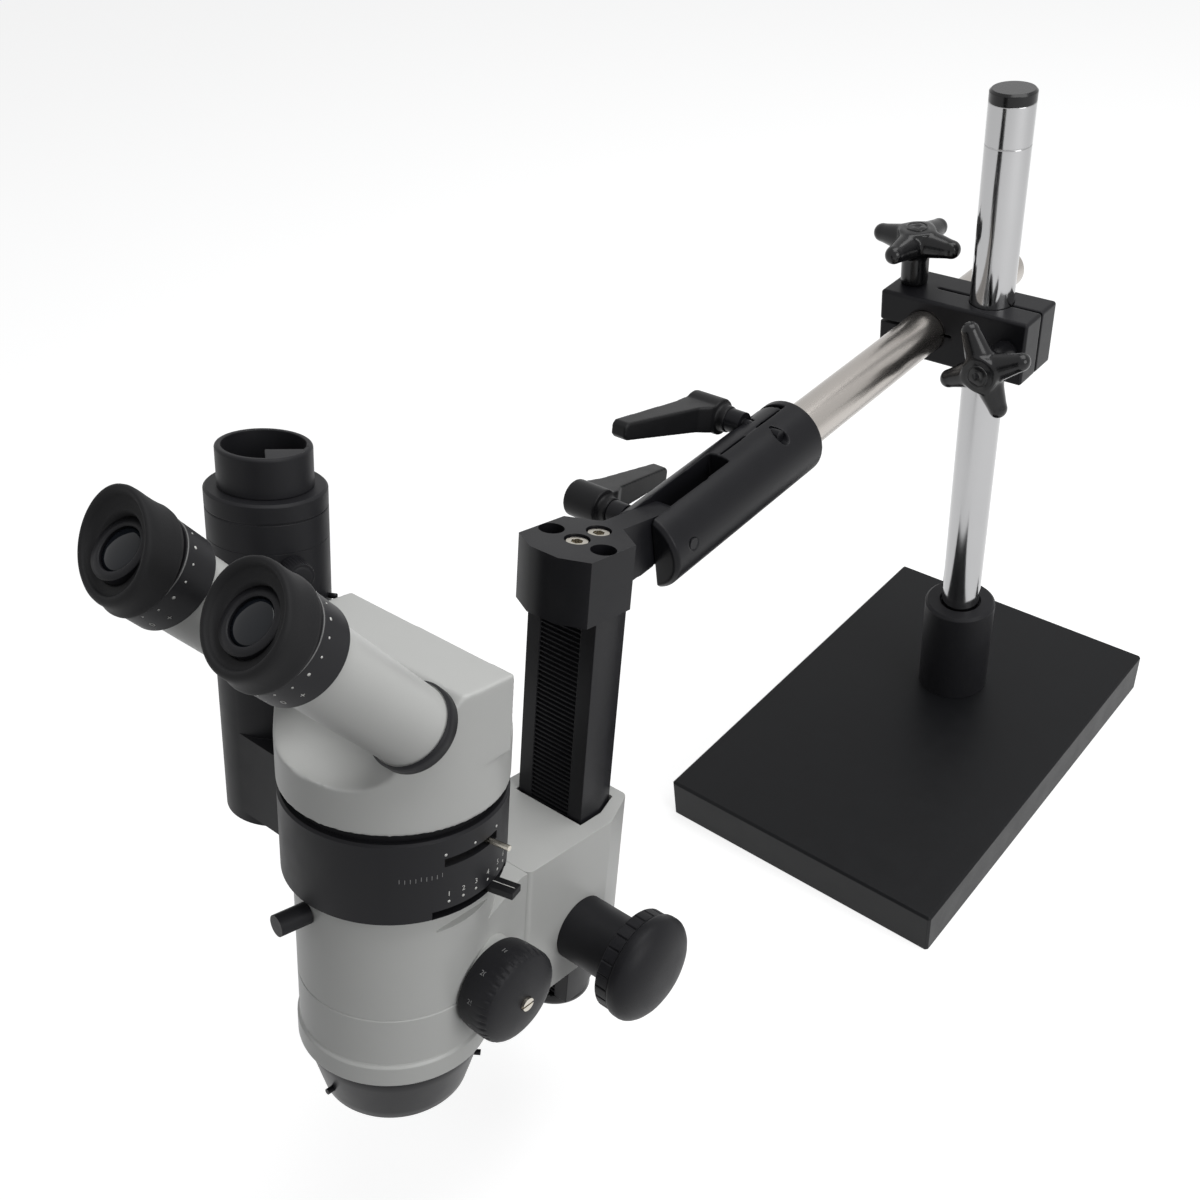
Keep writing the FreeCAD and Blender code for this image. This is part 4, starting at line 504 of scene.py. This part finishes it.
for side, name, rise in ((1, "right", 5.0), (-1, "left", 8.0)):
    place = eye_frame(side)
    for index in range(18):
        dot_radius = 0.6 if index % 5 == 0 else 0.42
        disc_dot(f"diopter_dot_{name}_{index}", dot_radius, 0.05, ink_white, f"diopter_{name}",
                 place @ around(DIOPTER_RADIUS, 135 + 20 * index, -16.9) @ TO_X)
    for index, text in enumerate(("-", "0", "+")):
        for half in (0, 180):
            lettering(f"diopter_mark_{name}_{index}_{half}", text, 2.6, ink_white, f"diopter_{name}",
                      place, DIOPTER_RADIUS, 10 + half + 22 * index, -22.8)
    lathe(f"cup_line_{name}", [(17.6, -13.2), (18.9, -13.3), (19.15, -13.6), (18.9, -13.9)],
          pale_rim, f"ocular_{name}", place)
    cup = lathe(f"eyecup_soft_{name}", cup_profile, rubber, f"ocular_{name}", place, 128)
    lean_cup(cup, place, rise)
    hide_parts(f"eyecup_{name}")
    lathe(f"eyelens_{name}", [(8.58, -3.8), (8.5, -3.4), (7.0, -2.95), (4.5, -2.6), (2.0, -2.45), (0, -2.42)],
          glass_dark, f"ocular_{name}", place, 64)
    lathe(f"eyelens_ring_{name}", [(8.6, -2.6), (8.8, -2.1), (9.4, -2.0), (11.9, -2.2), (11.9, -2.6)],
          anodised_soft, f"ocular_{name}", place, 64)
    lathe(f"root_ring_{name}", [(16.6, -92.6), (17.5, -93.4), (17.7, -94.0), (17.7, -98.4), (16.6, -98.6)],
          anodised_soft, f"ocular_{name}", place, 96)

# Eye distance scale on the left tube
TUBE_RADIUS = 16.1
for index in range(2):
    block(f"distance_line_{index}", (-0.1, -0.12, -3.6), (0.05, 0.12, 3.6), ink_grey, "ocular_left",
          eye_frame(-1) @ around(TUBE_RADIUS, 96 + 16 * index, -42))
for index in range(2):
    lettering(f"distance_bar_{index}", "-", 10, ink_grey, "ocular_left", eye_frame(-1),
              TUBE_RADIUS, 104, -38.6 - 7 * index)

# Knurled head of the photo port's thumbscrew, and a pin beside it
THUMB_TURN = -16
THUMB_LEVEL = 17


def knurl_wave(height, angle):
    return 0.28 * math.cos(30 * angle) if 25.4 < height < 33 else 0.0


lathe("thumb_grip", [(0, 33.9), (3.6, 33.9), (5.2, 33.4), (5.6, 32.8), (5.6, 25.6), (5.0, 24.8), (0, 24.8)],
      plastic_black, "port_thumbscrew",
      port_frame @ turn(THUMB_TURN, "Z") @ shift(0, 0, THUMB_LEVEL) @ TO_X, 120, knurl_wave)
lathe("port_pin", [(0, 3.6), (1.0, 3.5), (1.2, 3.2), (1.2, -1), (0, -1)], steel_black, "carriage",
      port_frame @ around(24.4, 124, -2.5) @ TO_X, 24)

# Camera at the photograph's viewing angle. Focal length and centre are in pixels of its frame.
PHOTO_SIZE = 1200
FOCAL_LENGTH = 1294.36
CENTRE_ACROSS = 663.86
CENTRE_DOWN = 670.02
SENSOR_WIDTH = 36
camera_data = bpy.data.cameras.new("camera")
camera_data.sensor_width = SENSOR_WIDTH
camera_data.lens = SENSOR_WIDTH * FOCAL_LENGTH / PHOTO_SIZE
camera_data.shift_x = (PHOTO_SIZE / 2 - CENTRE_ACROSS) / PHOTO_SIZE
camera_data.shift_y = (CENTRE_DOWN - PHOTO_SIZE / 2) / PHOTO_SIZE
camera_data.clip_start = 0.05
camera_data.clip_end = 20
camera = bpy.data.objects.new("camera", camera_data)
bpy.context.scene.collection.objects.link(camera)
right = Vector((0.77314, 0.63084, -0.06559))
down = Vector((0.37363, -0.53658, -0.75662))
ahead = Vector((-0.5125, 0.56046, -0.65055))
pose = Matrix((right, -down, -ahead)).transposed().to_4x4()
pose.translation = Vector((318.8, -606.2, 660.3)) * MM
camera.matrix_world = pose
bpy.context.scene.camera = camera


# Backdrop: camera, mirror and glass see a white one, and the object is lit by a plain one
def choose_backdrop(tree, plain, shown, output):
    """Gives shown to rays from the camera, a mirror or glass, and plain to the light on the object."""
    path = tree.nodes.new("ShaderNodeLightPath")
    share = path.outputs["Is Camera Ray"]
    for ray in ("Is Glossy Ray", "Is Transmission Ray"):
        larger = tree.nodes.new("ShaderNodeMath")
        larger.operation = "MAXIMUM"
        tree.links.new(share, larger.inputs[0])
        tree.links.new(path.outputs[ray], larger.inputs[1])
        share = larger.outputs[0]
    choice = tree.nodes.new("ShaderNodeMixShader")
    tree.links.new(share, choice.inputs["Fac"])
    tree.links.new(plain, choice.inputs[1])
    tree.links.new(shown, choice.inputs[2])
    tree.links.new(choice.outputs["Shader"], output)


floor_look = bpy.data.materials.new("floor_pale")
floor_look.use_nodes = True
tree = floor_look.node_tree
tree.nodes.remove(tree.nodes["Principled BSDF"])
plain = tree.nodes.new("ShaderNodeBsdfDiffuse")
plain.inputs["Color"].default_value = (0.09, 0.09, 0.09, 1)
shown = tree.nodes.new("ShaderNodeBsdfDiffuse")
shown.inputs["Color"].default_value = (0.55, 0.55, 0.55, 1)
lift = tree.nodes.new("ShaderNodeEmission")
lift.inputs["Strength"].default_value = 0.74
both = tree.nodes.new("ShaderNodeAddShader")
tree.links.new(shown.outputs["BSDF"], both.inputs[0])
tree.links.new(lift.outputs["Emission"], both.inputs[1])
choose_backdrop(tree, plain.outputs["BSDF"], both.outputs["Shader"],
                tree.nodes["Material Output"].inputs["Surface"])

FLOOR_REACH = 6
floor_mesh = bpy.data.meshes.new("floor")
floor_corners = [(-FLOOR_REACH, -FLOOR_REACH, 0), (FLOOR_REACH, -FLOOR_REACH, 0),
                 (FLOOR_REACH, FLOOR_REACH, 0), (-FLOOR_REACH, FLOOR_REACH, 0)]
floor_mesh.from_pydata(floor_corners, [], [(0, 1, 2, 3)])
floor_mesh.materials.append(floor_look)
floor = bpy.data.objects.new("floor", floor_mesh)
bpy.context.scene.collection.objects.link(floor)

world = bpy.data.worlds.new("world")
world.use_nodes = True
tree = world.node_tree
sky = tree.nodes["Background"]
sky.inputs["Color"].default_value = (0.98, 0.99, 1.0, 1)
sky.inputs["Strength"].default_value = 0.23
white = tree.nodes.new("ShaderNodeBackground")
white.inputs["Strength"].default_value = 1.0
choose_backdrop(tree, sky.outputs["Background"], white.outputs["Background"],
                tree.nodes["World Output"].inputs["Surface"])
bpy.context.scene.world = world


# Two wide lamps: spot, target and width in metres, power in watts
def soft_light(name, spot, target, width, power):
    data = bpy.data.lights.new(name, "AREA")
    data.size = width
    data.energy = power
    lamp = bpy.data.objects.new(name, data)
    bpy.context.scene.collection.objects.link(lamp)
    lamp.location = spot
    lamp.rotation_mode = "QUATERNION"
    lamp.rotation_quaternion = (Vector(target) - Vector(spot)).to_track_quat("-Z", "Y")


soft_light("top_light", (0.3, 0.2, 1.9), (0, -0.2, 0.2), 1.4, 18)
soft_light("side_light", (1.7, -0.3, 1.0), (0, -0.25, 0.25), 1.0, 12)

scene = bpy.context.scene
scene.view_settings.view_transform = "Standard"
scene.view_settings.look = "None"
